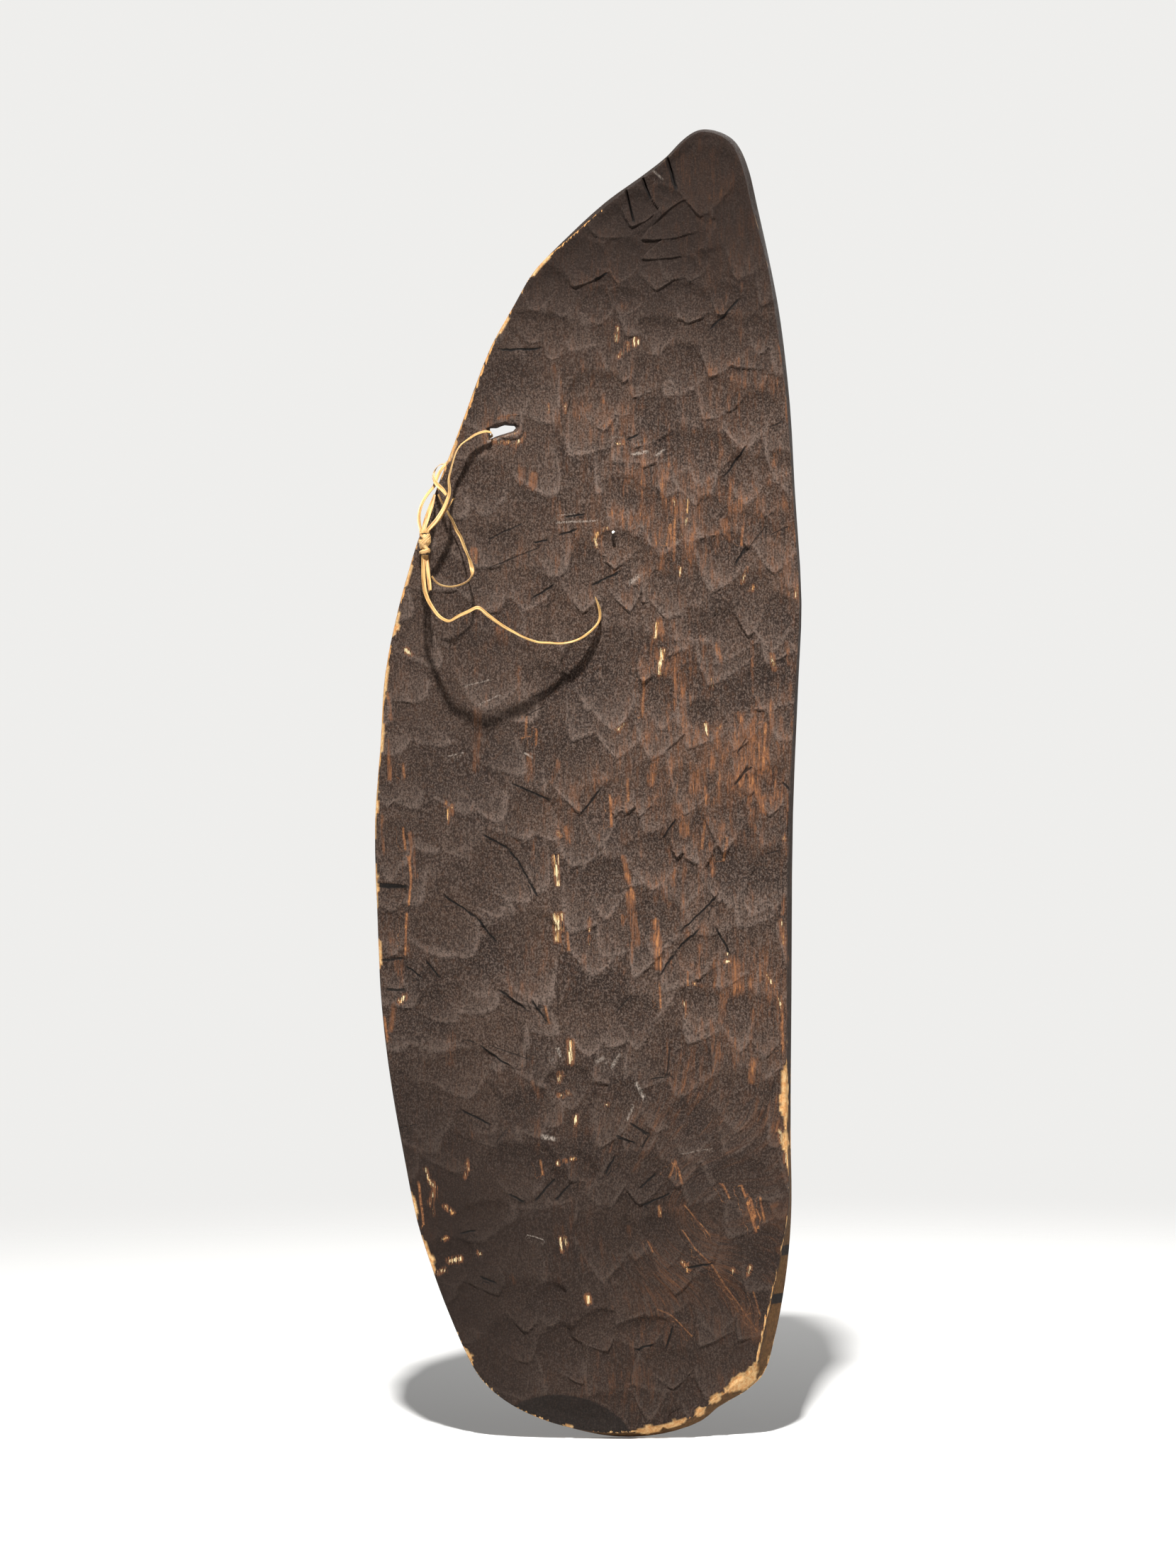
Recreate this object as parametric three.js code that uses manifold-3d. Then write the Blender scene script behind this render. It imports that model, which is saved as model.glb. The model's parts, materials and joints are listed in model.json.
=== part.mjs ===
// A carved wooden shield: one long, pointed board hewn from a single plank, with a chiselled slot
// near its upper left edge, a plant-fibre tie knotted through that slot, and one small nail.
// It stands upright, +Z up. The adzed face looks along -Y and the flat land on the back lies at y = 0.

import * as THREE from 'three';
import { mergeVertices } from 'three/addons/utils/BufferGeometryUtils.js';
import Module from 'manifold-3d';

const wasm = await Module();
wasm.setup();

// Driving dimensions of the board, in millimetres
const BOARD_HEIGHT = 1200;
const BOARD_WIDTH = 393;
const BOARD_THICKNESS = 27;
const RIM_SETBACK = 12; // how far the back's rim lies in front of the flat land
const FAR_FLARE = 12; // widest outward lean of the side wall, from the carved face to the back

// Scallops that the adze left on the carved face
const STROKE_WIDTH = 62;
const STROKE_LENGTH = 84;
const STROKE_SPACING = 44;
const STROKE_PITCH = 58;
const STROKE_DEPTH = 2.2;

// The slot that the tie goes through: a wide mouth on the carved face, narrower behind it
const SLOT_WIDTH = 24.6;
const SLOT_HEIGHT = 13.8;
const SLOT_MOUTH_WIDTH = 30.6;
const SLOT_MOUTH_HEIGHT = 18.2;
const SLOT_MOUTH_DEPTH = 10;
const SLOT_ACROSS_SHARE = -0.2;
const SLOT_UP_SHARE = 0.2705;

// The nail, which leans upwards
const NAIL_SHANK_DIAMETER = 2.6;
const NAIL_HEAD_DIAMETER = 4.4;
const NAIL_HEAD_THICKNESS = 1;
const NAIL_STANDING = 9.5; // from the carved face to the top of the head
const NAIL_BURIED = 11;
const NAIL_POINT_LENGTH = 3;
const NAIL_LEAN = 29; // degrees
const NAIL_ACROSS_SHARE = 0.0588;
const NAIL_UP_SHARE = 0.1888;

// The tie: strips of plant fibre and the knot that gathers them
const STRIP_WIDTH = 2.7;
const STRIP_SLOT_CLEARANCE = 0.7;
const STRIP_ABOVE_SLOT_FLOOR = 4.3; // height of the strip above the slot's lowest corner
const KNOT_HEIGHT = 19.4;
const KNOT_RADIUS = 5.8;
const KNOT_CENTRE = [-60.7, -57, -112.5]; // from the tie's axis to the middle of the knot's underside

// Clearances and overruns
const FIT_CLEARANCE = 0.3;
const CUT_OVERRUN = 5;

// Outline of the carved face, clockwise from the tip as seen from the front. Each point is a share
// of the board's width and height from its centre, and the third number is the side wall's lean as
// a share of FAR_FLARE.
const outlineShares = [
  [0.267, 0.5, 0.29],
  [0.329, 0.493, 0.4],
  [0.358, 0.476, 0.45],
  [0.384, 0.442, 0.44],
  [0.422, 0.394, 0.26],
  [0.44, 0.356, 0.36],
  [0.465, 0.291, 0.28],
  [0.478, 0.225, 0.23],
  [0.495, 0.139, 0.19],
  [0.487, 0.084, 0.23],
  [0.469, -0.024, 0.38],
  [0.465, -0.16, 0.4],
  [0.465, -0.268, 0.33],
  [0.47, -0.321, 0.24],
  [0.452, -0.357, 0.63],
  [0.429, -0.393, 0.91],
  [0.406, -0.425, 1],
  [0.384, -0.451, 0.87],
  [0.29, -0.473, 0.72],
  [0.257, -0.483, 0.66],
  [0.169, -0.493, 0.61],
  [0.065, -0.497, 0.4],
  [-0.043, -0.493, 0.1],
  [-0.147, -0.481, 0],
  [-0.215, -0.467, 0],
  [-0.26, -0.451, 0],
  [-0.313, -0.415, 0],
  [-0.361, -0.374, 0],
  [-0.399, -0.335, 0],
  [-0.43, -0.285, 0],
  [-0.46, -0.23, 0],
  [-0.482, -0.171, 0],
  [-0.493, -0.095, 0],
  [-0.498, -0.03, 0],
  [-0.485, 0.03, 0],
  [-0.474, 0.084, 0],
  [-0.445, 0.132, 0],
  [-0.402, 0.182, 0],
  [-0.358, 0.222, 0],
  [-0.329, 0.247, 0],
  [-0.278, 0.291, 0],
  [-0.228, 0.334, 0],
  [-0.172, 0.367, 0],
  [-0.121, 0.395, 0],
  [-0.04, 0.419, 0.26],
  [0.05, 0.445, 0.32],
  [0.129, 0.464, 0.28],
  [0.189, 0.48, 0.23],
  [0.227, 0.493, 0.23],
];

// Middle line that the rings of both faces close in on, from the top to the bottom, in the same shares
const spineShares = [
  [0.209, 0.421],
  [0.114, 0.329],
  [0.036, 0.166],
  [-0.012, -0.05],
  [0.013, -0.268],
  [0.06, -0.415],
];

// How far each ring of the carved face and of the back's sloping margin lies from the edge to the spine
const faceRingShares = [0.88, 0.76, 0.64, 0.52, 0.4, 0.28, 0.16, 0.06, 0];
const marginRingShares = [0, 0.22, 0.45];
const landShare = marginRingShares.at(-1);
const SAMPLES_PER_OUTLINE_POINT = 3;

// Corners of the slot, as shares of its width and height behind the mouth, and of the mouth's own
const slotShares = [
  [-0.475, -0.52],
  [-0.03, -0.24],
  [0.4, 0.02],
  [0.525, 0.24],
  [0.42, 0.43],
  [0.08, 0.48],
  [-0.19, 0.28],
  [-0.475, 0.25],
];
const slotMouthShares = [
  [-0.425, -0.53],
  [0.02, -0.3],
  [0.46, -0.04],
  [0.52, 0.21],
  [0.49, 0.44],
  [0.07, 0.46],
  [-0.24, 0.36],
  [-0.475, 0.15],
];

// The knot's profile from its underside up: shares of its radius and height
const knotProfileShares = [
  [0, 0],
  [0.74, 0],
  [0.93, 0.1],
  [1, 0.27],
  [0.93, 0.42],
  [0.86, 0.5],
  [0.94, 0.6],
  [0.99, 0.76],
  [0.95, 0.92],
  [0.89, 1],
  [0, 1],
];
const KNOT_SIDES = 14;
const NAIL_SIDES = 12;
const STRIP_SIDES = 8;
const STRIP_WIDTHS_PER_STEP = 2.5;

// Routes of the strips, in millimetres from the tie's axis (x and z) and from the back's land (y)
const stripRoutes = {
  tie_front_strand: [
    [0, -17.15, 0],
    [0, -22, 0],
    [0, -27.5, 0],
    [-0.6, -31.5, 0.6],
    [-3.2, -35, 1.2],
    [-7, -36.8, 1.2],
    [-14.8, -38, -1.6],
    [-21.4, -39.5, -6.2],
    [-27.9, -43.5, -11.4],
    [-32.4, -45.5, -18.6],
    [-35.2, -46.5, -27.5],
    [-37.2, -48, -35.2],
    [-38.8, -50, -43.5],
    [-38.3, -51.5, -51.1],
    [-38.6, -52.8, -57.6],
    [-40.9, -54.4, -64.8],
    [-43.9, -55.6, -71.7],
    [-49.5, -57, -80.4],
    [-55, -58.2, -87],
    [-58.1, -58.6, -90.4],
    [-58.1, -58.6, -92.8],
  ],
  tie_rear_strand: [
    [0, -16.85, 0],
    [0, -12, 0],
    [0, -8, 0],
    [-0.5, -4.5, -0.3],
    [-3.6, -2.1, -2],
    [-9, -1.9, -4.7],
    [-14.8, -2.6, -8.1],
    [-23.3, -3.8, -12.7],
    [-31.1, -5.2, -16.9],
    [-37, -6.8, -20.8],
    [-40.5, -8.2, -24.7],
    [-44.1, -10, -28.6],
    [-47.1, -14.5, -32.9],
    [-49.3, -19.4, -37.4],
    [-51, -24.4, -42.6],
    [-52.8, -30, -48.5],
    [-56.4, -37, -53.7],
    [-60.3, -42, -59.6],
    [-63.7, -47, -66.7],
    [-65.6, -50.5, -74.5],
    [-65.7, -53.5, -82.3],
    [-64.3, -56, -90],
    [-64.2, -56.2, -92.8],
  ],
  tie_inner_strand: [
    [-52.4, -35, -56.4],
    [-53.2, -37.4, -60],
    [-54.6, -41, -65],
    [-56.8, -46.5, -72.2],
    [-58.8, -51.5, -79],
    [-60.4, -55.6, -85],
    [-61.3, -58.2, -89.8],
    [-61.3, -58.4, -92.8],
  ],
  tie_twist_loop: [
    [-45, -6.3, -26.4],
    [-48.4, -6.6, -27.2],
    [-51.4, -9, -30.2],
    [-53.1, -14, -34.2],
    [-53.7, -22.5, -38.8],
    [-52.4, -30.8, -43],
    [-50.4, -37, -46.8],
    [-46.6, -41.5, -50.6],
    [-43.6, -46.4, -54],
    [-41.2, -50.7, -57.6],
  ],
  tie_side_loop: [
    [-48.9, -37.2, -56.3],
    [-46.1, -37.4, -62.2],
    [-43.2, -36.6, -68],
    [-39.6, -35.4, -74.2],
    [-36.2, -34.4, -80],
    [-32.5, -33.8, -88.7],
    [-28.7, -36, -95],
    [-24.6, -39.5, -105.3],
    [-21.2, -43.6, -113.6],
    [-18.4, -47, -122],
    [-17.6, -50.4, -128.6],
    [-19.7, -53, -134.4],
    [-24.6, -55.4, -138.3],
    [-31.1, -57.6, -140.9],
    [-37, -59.4, -141.9],
    [-42.8, -60.8, -141.3],
    [-47.5, -61.6, -139.6],
    [-51.3, -62, -136.4],
    [-54, -61.9, -132.4],
  ],
  tie_upper_end: [
    [-57.6, -55.3, -92.8],
    [-57.6, -55.3, -90.4],
    [-55.4, -54.7, -87.4],
    [-51.6, -53.6, -83.4],
    [-47, -52.4, -78],
    [-43.2, -51.6, -73.4],
    [-40, -50.9, -69.4],
    [-37, -50.2, -65],
    [-35.2, -49.8, -61.4],
  ],
  tie_short_end: [
    [-58.8, -55.4, -112.8],
    [-58.8, -55.5, -115.4],
    [-58.2, -57.4, -121],
    [-57.6, -59.4, -127],
    [-57.1, -61, -133],
    [-56.4, -62, -139],
    [-55.8, -62.6, -145.2],
  ],
  tie_long_end: [
    [-61.8, -57.9, -112.8],
    [-61.8, -58, -115.4],
    [-61.9, -60, -121],
    [-61.9, -62, -130],
    [-61.5, -63.2, -138],
    [-60.4, -64.2, -146],
    [-57.6, -65.4, -154],
    [-53.4, -67.2, -161.6],
    [-48.3, -70.6, -168.4],
    [-43, -75.4, -172.4],
    [-37, -81, -174],
    [-29.2, -87, -170.2],
    [-20.7, -93, -166.6],
    [-15, -96.6, -163.8],
    [-11.6, -98.4, -162.8],
    [-8.4, -97.2, -164.2],
    [-3.6, -93.4, -168.4],
    [1, -89, -171.9],
    [7, -84.6, -176.2],
    [14.2, -80, -180.7],
    [22, -74.6, -184.8],
    [29.4, -70, -188.4],
    [36.8, -64, -191.2],
    [44.4, -59.4, -193],
    [53, -55, -193.2],
    [62, -49.6, -193.6],
    [71, -43.6, -192.4],
    [80.6, -38.8, -189],
    [88.4, -34.6, -183.8],
    [95.4, -31.4, -177.2],
    [99, -29.9, -170.8],
    [99.3, -29.4, -163.8],
    [97.6, -29.2, -157],
    [94.9, -29.1, -149.9],
  ],
};

const materials = {
  board: new THREE.MeshStandardMaterial({ color: 0x483e38, roughness: 0.8, metalness: 0 }),
  nail: new THREE.MeshStandardMaterial({ color: 0xb4b2ae, roughness: 0.35, metalness: 1 }),
  strip: new THREE.MeshStandardMaterial({ color: 0xe0c088, roughness: 0.65, metalness: 0 }),
  knot: new THREE.MeshStandardMaterial({ color: 0xd9b67c, roughness: 0.7, metalness: 0 }),
};

// A closed skin through rings of equal length, each listed anticlockwise as seen from the front, from
// the front cap over the edge to the back cap. The caps are flat or nearly flat, and face -Y and +Y.
function closedLoft(rings) {
  const count = rings[0].length;
  const indices = [];
  for (let ring = 0; ring < rings.length - 1; ring++) {
    for (let i = 0; i < count; i++) {
      const next = (i + 1) % count;
      const here = ring * count;
      const beyond = here + count;
      indices.push(here + i, beyond + next, here + next);
      indices.push(here + i, beyond + i, beyond + next);
    }
  }
  const cap = (ring, facesFront) => {
    const start = rings.indexOf(ring) * count;
    const flat = ring.map((p) => new THREE.Vector2(p.x, p.z));
    for (const [a, b, c] of THREE.ShapeUtils.triangulateShape(flat, [])) {
      const anticlockwise = THREE.ShapeUtils.area([flat[a], flat[b], flat[c]]) > 0;
      const keepsOrder = anticlockwise === facesFront;
      indices.push(start + a, start + (keepsOrder ? b : c), start + (keepsOrder ? c : b));
    }
  };
  cap(rings[0], true);
  cap(rings.at(-1), false);
  const geometry = new THREE.BufferGeometry().setFromPoints(rings.flat());
  geometry.setIndex(indices);
  return geometry;
}

function toSolid(geometry) {
  const bare = geometry.clone();
  bare.deleteAttribute('normal');
  bare.deleteAttribute('uv');
  const merged = mergeVertices(bare);
  return new wasm.Manifold(
    new wasm.Mesh({
      numProp: 3,
      vertProperties: new Float32Array(merged.attributes.position.array),
      triVerts: new Uint32Array(merged.index.array),
    }),
  );
}

function toGeometry(solid) {
  const mesh = solid.getMesh();
  const geometry = new THREE.BufferGeometry();
  geometry.setAttribute('position', new THREE.BufferAttribute(new Float32Array(mesh.vertProperties), 3));
  geometry.setIndex(new THREE.BufferAttribute(new Uint32Array(mesh.triVerts), 1));
  return geometry;
}

function namedMesh(name, geometry, material) {
  geometry.computeVertexNormals();
  const mesh = new THREE.Mesh(geometry, material);
  mesh.name = name;
  return mesh;
}

// The point of the middle line at a height, or its nearer end above and below it
function spinePoint(height) {
  const line = spineShares.map(([across, up]) => new THREE.Vector2(across * BOARD_WIDTH, up * BOARD_HEIGHT));
  if (height >= line[0].y) return line[0];
  const lower = line.findIndex((point) => point.y <= height);
  if (lower < 0) return line.at(-1);
  const part = (line[lower - 1].y - height) / (line[lower - 1].y - line[lower].y);
  return line[lower - 1].clone().lerp(line[lower], part);
}

// Depth of the adze's overlapping cuts below the carved face's own plane
function carvedDepth(x, z) {
  const nearestRow = Math.round(z / STROKE_PITCH);
  let deepest = 0;
  for (let row = nearestRow - 1; row <= nearestRow + 1; row++) {
    const stagger = (Math.abs(row) % 2) * (STROKE_SPACING / 2);
    const nearestColumn = Math.round((x - stagger) / STROKE_SPACING);
    for (let column = nearestColumn - 1; column <= nearestColumn + 1; column++) {
      const across = (x - stagger - column * STROKE_SPACING) / (STROKE_WIDTH / 2);
      const along = (z - row * STROKE_PITCH) / (STROKE_LENGTH / 2);
      deepest = Math.max(deepest, STROKE_DEPTH * (1 - across ** 2 - along ** 2));
    }
  }
  return deepest;
}

// The edge sampled all round, anticlockwise as seen from the front. Each sample has its point on the
// carved face's edge, on the back's rim and on the middle line.
function edgeColumns() {
  const points = outlineShares.map(
    ([across, up, lean]) => new THREE.Vector3(across * BOARD_WIDTH, lean * FAR_FLARE, up * BOARD_HEIGHT),
  );
  const curve = new THREE.CatmullRomCurve3(points.reverse(), true, 'centripetal');
  const count = points.length * SAMPLES_PER_OUTLINE_POINT;
  return Array.from({ length: count }, (_, i) => {
    const sample = curve.getPoint(i / count);
    const heading = curve.getTangent(i / count);
    const outward = new THREE.Vector2(heading.z, -heading.x).normalize();
    const near = new THREE.Vector2(sample.x, sample.z);
    const far = near.clone().addScaledVector(outward, Math.max(sample.y, 0));
    return { near, far, spine: spinePoint(near.y) };
  });
}

function boardBlank() {
  const columns = edgeColumns();
  const faceRings = faceRingShares.map((share) =>
    columns.map(({ near, spine }) => {
      const point = near.clone().lerp(spine, share);
      const depth = share > 0 ? carvedDepth(point.x, point.y) : 0;
      return new THREE.Vector3(point.x, depth - BOARD_THICKNESS, point.y);
    }),
  );
  const marginRings = marginRingShares.map((share) =>
    columns.map(({ far, spine }) => {
      const point = far.clone().lerp(spine, share);
      return new THREE.Vector3(point.x, RIM_SETBACK * (share / landShare - 1), point.y);
    }),
  );
  return closedLoft([...faceRings, ...marginRings]);
}

const slotCentre = new THREE.Vector3(SLOT_ACROSS_SHARE * BOARD_WIDTH, 0, SLOT_UP_SHARE * BOARD_HEIGHT);

function slotCutter() {
  const ring = (shares, width, height, y) =>
    shares.map(([across, up]) => new THREE.Vector3(slotCentre.x + across * width, y, slotCentre.z + up * height));
  const face = -BOARD_THICKNESS;
  return closedLoft([
    ring(slotMouthShares, SLOT_MOUTH_WIDTH, SLOT_MOUTH_HEIGHT, face - CUT_OVERRUN),
    ring(slotMouthShares, SLOT_MOUTH_WIDTH, SLOT_MOUTH_HEIGHT, face),
    ring(slotShares, SLOT_WIDTH, SLOT_HEIGHT, face + SLOT_MOUTH_DEPTH),
    ring(slotShares, SLOT_WIDTH, SLOT_HEIGHT, CUT_OVERRUN),
  ]);
}

const nailPlace = new THREE.Vector3(
  NAIL_ACROSS_SHARE * BOARD_WIDTH,
  -BOARD_THICKNESS,
  NAIL_UP_SHARE * BOARD_HEIGHT,
);
const nailLean = THREE.MathUtils.degToRad(NAIL_LEAN);
const nailDirection = new THREE.Vector3(0, -Math.cos(nailLean), Math.sin(nailLean));
const nailTurn = new THREE.Quaternion().setFromUnitVectors(THREE.Object3D.DEFAULT_UP, nailDirection);

function nailHoleCutter() {
  const depth = NAIL_BURIED + FIT_CLEARANCE;
  const length = depth + CUT_OVERRUN;
  const radius = NAIL_SHANK_DIAMETER / 2 + FIT_CLEARANCE;
  const hole = new THREE.CylinderGeometry(radius, radius, length, NAIL_SIDES);
  hole.translate(0, length / 2 - depth, 0);
  hole.applyQuaternion(nailTurn);
  hole.translate(...nailPlace.toArray());
  return hole;
}

function board() {
  const solid = toSolid(boardBlank()).subtract(toSolid(slotCutter())).subtract(toSolid(nailHoleCutter()));
  return namedMesh('shield_board', toGeometry(solid), materials.board);
}

function nail() {
  const shank = NAIL_SHANK_DIAMETER / 2;
  const head = NAIL_HEAD_DIAMETER / 2;
  const profile = [
    [0, -NAIL_BURIED],
    [shank, NAIL_POINT_LENGTH - NAIL_BURIED],
    [shank, NAIL_STANDING - NAIL_HEAD_THICKNESS],
    [head, NAIL_STANDING - NAIL_HEAD_THICKNESS],
    [head, NAIL_STANDING],
    [0, NAIL_STANDING],
  ].map(([radius, height]) => new THREE.Vector2(radius, height));
  const mesh = namedMesh('nail', new THREE.LatheGeometry(profile, NAIL_SIDES), materials.nail);
  mesh.quaternion.copy(nailTurn);
  mesh.position.copy(nailPlace);
  return mesh;
}

function strip(name, route) {
  const section = new THREE.Shape();
  for (let side = 0; side < STRIP_SIDES; side++) {
    const angle = (side / STRIP_SIDES) * Math.PI * 2;
    const x = (STRIP_WIDTH / 2) * Math.cos(angle);
    const y = (STRIP_WIDTH / 2) * Math.sin(angle);
    if (side === 0) section.moveTo(x, y);
    else section.lineTo(x, y);
  }
  const path = new THREE.CatmullRomCurve3(route.map((place) => new THREE.Vector3(...place)));
  const steps = Math.ceil(path.getLength() / (STRIP_WIDTH * STRIP_WIDTHS_PER_STEP));
  const geometry = new THREE.ExtrudeGeometry(section, { steps, extrudePath: path, bevelEnabled: false });
  return namedMesh(name, geometry, materials.strip);
}

function knot() {
  const profile = knotProfileShares.map(
    ([out, up]) => new THREE.Vector2(out * KNOT_RADIUS, up * KNOT_HEIGHT),
  );
  const mesh = namedMesh('tie_knot', new THREE.LatheGeometry(profile, KNOT_SIDES), materials.knot);
  mesh.rotation.x = Math.PI / 2;
  mesh.position.set(...KNOT_CENTRE);
  return mesh;
}

// The tie hangs from the slot's left end, on the axis where its strip goes straight through the board
function tie() {
  const slotLeft = slotCentre.x + slotShares[0][0] * SLOT_WIDTH;
  const slotFloor = slotCentre.z + slotShares[0][1] * SLOT_HEIGHT;
  const group = new THREE.Group();
  group.position.set(
    slotLeft + STRIP_SLOT_CLEARANCE + STRIP_WIDTH / 2,
    0,
    slotFloor + STRIP_ABOVE_SLOT_FLOOR,
  );
  for (const [name, route] of Object.entries(stripRoutes)) group.add(strip(name, route));
  group.add(knot());
  return group;
}

const shield = new THREE.Group();
shield.add(board(), nail(), tie());

export default shield;
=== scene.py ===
"""Dresses a carved wooden shield: a hewn, smoke-dark board with a slot, a plant-fibre tie and a nail.

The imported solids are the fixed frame. The board is modelled again with its adze cuts, chips and
worn edges, and each strip of the tie as the flat, curled ribbon that it is.
"""

import json
import logging
import math
from dataclasses import dataclass, field
from enum import Enum

import bmesh
import bpy
import numpy as np
from bmesh.types import BMesh, BMVert
from bpy.types import Material, Mesh, NodeSocket, NodeTree, Object
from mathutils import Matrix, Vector, kdtree

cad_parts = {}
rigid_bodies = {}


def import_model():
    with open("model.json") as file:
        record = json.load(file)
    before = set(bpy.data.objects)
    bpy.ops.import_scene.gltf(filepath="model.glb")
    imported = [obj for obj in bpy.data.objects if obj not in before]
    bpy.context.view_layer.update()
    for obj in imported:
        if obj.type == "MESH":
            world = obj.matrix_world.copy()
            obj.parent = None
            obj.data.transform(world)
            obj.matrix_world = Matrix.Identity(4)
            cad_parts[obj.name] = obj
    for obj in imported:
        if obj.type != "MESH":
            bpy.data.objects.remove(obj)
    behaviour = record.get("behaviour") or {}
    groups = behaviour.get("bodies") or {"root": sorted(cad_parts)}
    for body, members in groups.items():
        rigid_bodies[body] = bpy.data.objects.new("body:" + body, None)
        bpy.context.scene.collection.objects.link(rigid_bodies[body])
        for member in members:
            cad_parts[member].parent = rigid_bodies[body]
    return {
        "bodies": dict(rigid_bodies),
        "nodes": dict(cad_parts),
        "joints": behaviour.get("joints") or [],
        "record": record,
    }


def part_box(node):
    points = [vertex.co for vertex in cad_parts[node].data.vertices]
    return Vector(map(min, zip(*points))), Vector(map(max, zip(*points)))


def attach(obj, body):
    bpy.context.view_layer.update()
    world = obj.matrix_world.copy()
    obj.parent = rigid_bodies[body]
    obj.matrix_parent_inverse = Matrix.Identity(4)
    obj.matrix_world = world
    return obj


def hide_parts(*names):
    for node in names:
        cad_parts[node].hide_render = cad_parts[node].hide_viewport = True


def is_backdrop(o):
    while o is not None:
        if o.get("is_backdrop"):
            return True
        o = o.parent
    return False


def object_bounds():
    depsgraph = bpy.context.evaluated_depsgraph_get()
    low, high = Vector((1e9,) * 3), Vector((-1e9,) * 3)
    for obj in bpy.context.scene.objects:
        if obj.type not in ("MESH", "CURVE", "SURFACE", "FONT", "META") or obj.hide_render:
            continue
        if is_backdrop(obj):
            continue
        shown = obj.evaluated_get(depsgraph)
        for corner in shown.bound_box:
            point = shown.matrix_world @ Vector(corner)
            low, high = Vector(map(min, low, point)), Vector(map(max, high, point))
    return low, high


log = logging.getLogger("shield")
Array = np.ndarray

MM = 0.001
SEED = 20751
STRIP_UV = "strip"


class Body(Enum):
    """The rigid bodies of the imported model."""

    BOARD = "board"
    TIE = "tie"


class Slot(Enum):
    """The record's material slots."""

    WOOD = "carved_wood"
    STEEL = "nail_steel"
    FIBRE = "plant_fibre"
    KNOT = "knotted_fibre"


@dataclass(frozen=True)
class PhotoFrame:
    """Turns a pixel of the photograph into a place on the shield's face."""

    centre_across: float = 829.0
    centre_down: float = 1105.5
    pixel: float = 0.651 * MM

    def place(self, across: float, down: float) -> tuple[float, float]:
        """Gives the x and z, in metres, that the pixel of a column and a row shows."""
        return (across - self.centre_across) * self.pixel, (self.centre_down - down) * self.pixel


PHOTO = PhotoFrame()


def smooth_step(values: Array, low: float, high: float) -> Array:
    """Rises smoothly from 0 at low to 1 at high."""
    part = np.clip((values - low) / (high - low), 0, 1)
    return part * part * (3 - 2 * part)


def path_length(points: list[Vector]) -> float:
    """Adds up the distances from each point to the next."""
    return sum((b - a).length for a, b in zip(points, points[1:]))


@dataclass
class Places:
    """Places as they are seen from the front, in metres."""

    x: Array
    z: Array

    def noise(self, cell: float, number: int) -> Array:
        """Makes smooth noise on a square lattice.

        Args:
            cell: the lattice's pitch, in millimetres.
            number: chooses the pattern.

        Returns:
            Values between -1 and 1, one for each place.
        """
        pitch = cell * MM
        column, row = np.floor(self.x / pitch).astype(np.int64), np.floor(self.z / pitch).astype(np.int64)
        across, up = self.x / pitch - column, self.z / pitch - row
        across, up = across * across * (3 - 2 * across), up * up * (3 - 2 * up)

        def corner(i: int, j: int) -> Array:
            """Gives the lattice's fixed value at one corner of each place's cell."""
            mixed = (column + i) * 374761393 + (row + j) * 668265263 + (SEED + number) * 974634777
            mixed = (mixed ^ (mixed >> 13)) * 1274126177
            return ((mixed ^ (mixed >> 16)) & 0xFFFF) / 0x7FFF - 1

        low = corner(0, 0) * (1 - across) + corner(1, 0) * across
        high = corner(0, 1) * (1 - across) + corner(1, 1) * across
        return low * (1 - up) + high * up

    def shaken(self, values: Array, *layers: tuple[float, int, float]) -> Array:
        """Adds layers of noise to values.

        Args:
            values: one for each place, in metres.
            layers: each layer's cell, pattern number and height, in millimetres.

        Returns:
            The sum, in metres.
        """
        for cell, number, height in layers:
            values = values + self.noise(cell, number) * height * MM
        return values


def headings(points: list[Vector]) -> list[Vector]:
    """Gives the way ahead at each point of a path."""
    return [(b - a).normalized() for a, b in zip([points[0], *points[:-1]], [*points[1:], points[-1]])]


def smooth_path(points: list[Vector], spacing: float, steps: int = 12) -> list[Vector]:
    """Runs one smooth curve through a route's points.

    Args:
        points: the route.
        spacing: the distance between samples, in metres.
        steps: how many steps the curve is worked out in from point to point.

    Returns:
        Samples a near-even distance apart, from the first point to the last.
    """
    ends = [points[0] * 2 - points[1], *points, points[-1] * 2 - points[-2]]
    dense = []
    for a, b, c, d in zip(ends, ends[1:], ends[2:], ends[3:]):
        for t in [step / steps for step in range(steps)]:
            square, cube = (2 * a - 5 * b + 4 * c - d) * t**2, (3 * b - a - 3 * c + d) * t**3
            dense.append(0.5 * (2 * b + (c - a) * t + square + cube))
    dense.append(points[-1].copy())
    marks = np.cumsum([0.0, *((b - a).length for a, b in zip(dense, dense[1:]))])
    total = path_length(dense)
    wanted = np.linspace(0, total, max(2, round(total / spacing)) + 1)
    axes = [np.interp(wanted, marks, [point[k] for point in dense]) for k in range(3)]
    return [Vector(place) for place in zip(*axes)]


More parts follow.
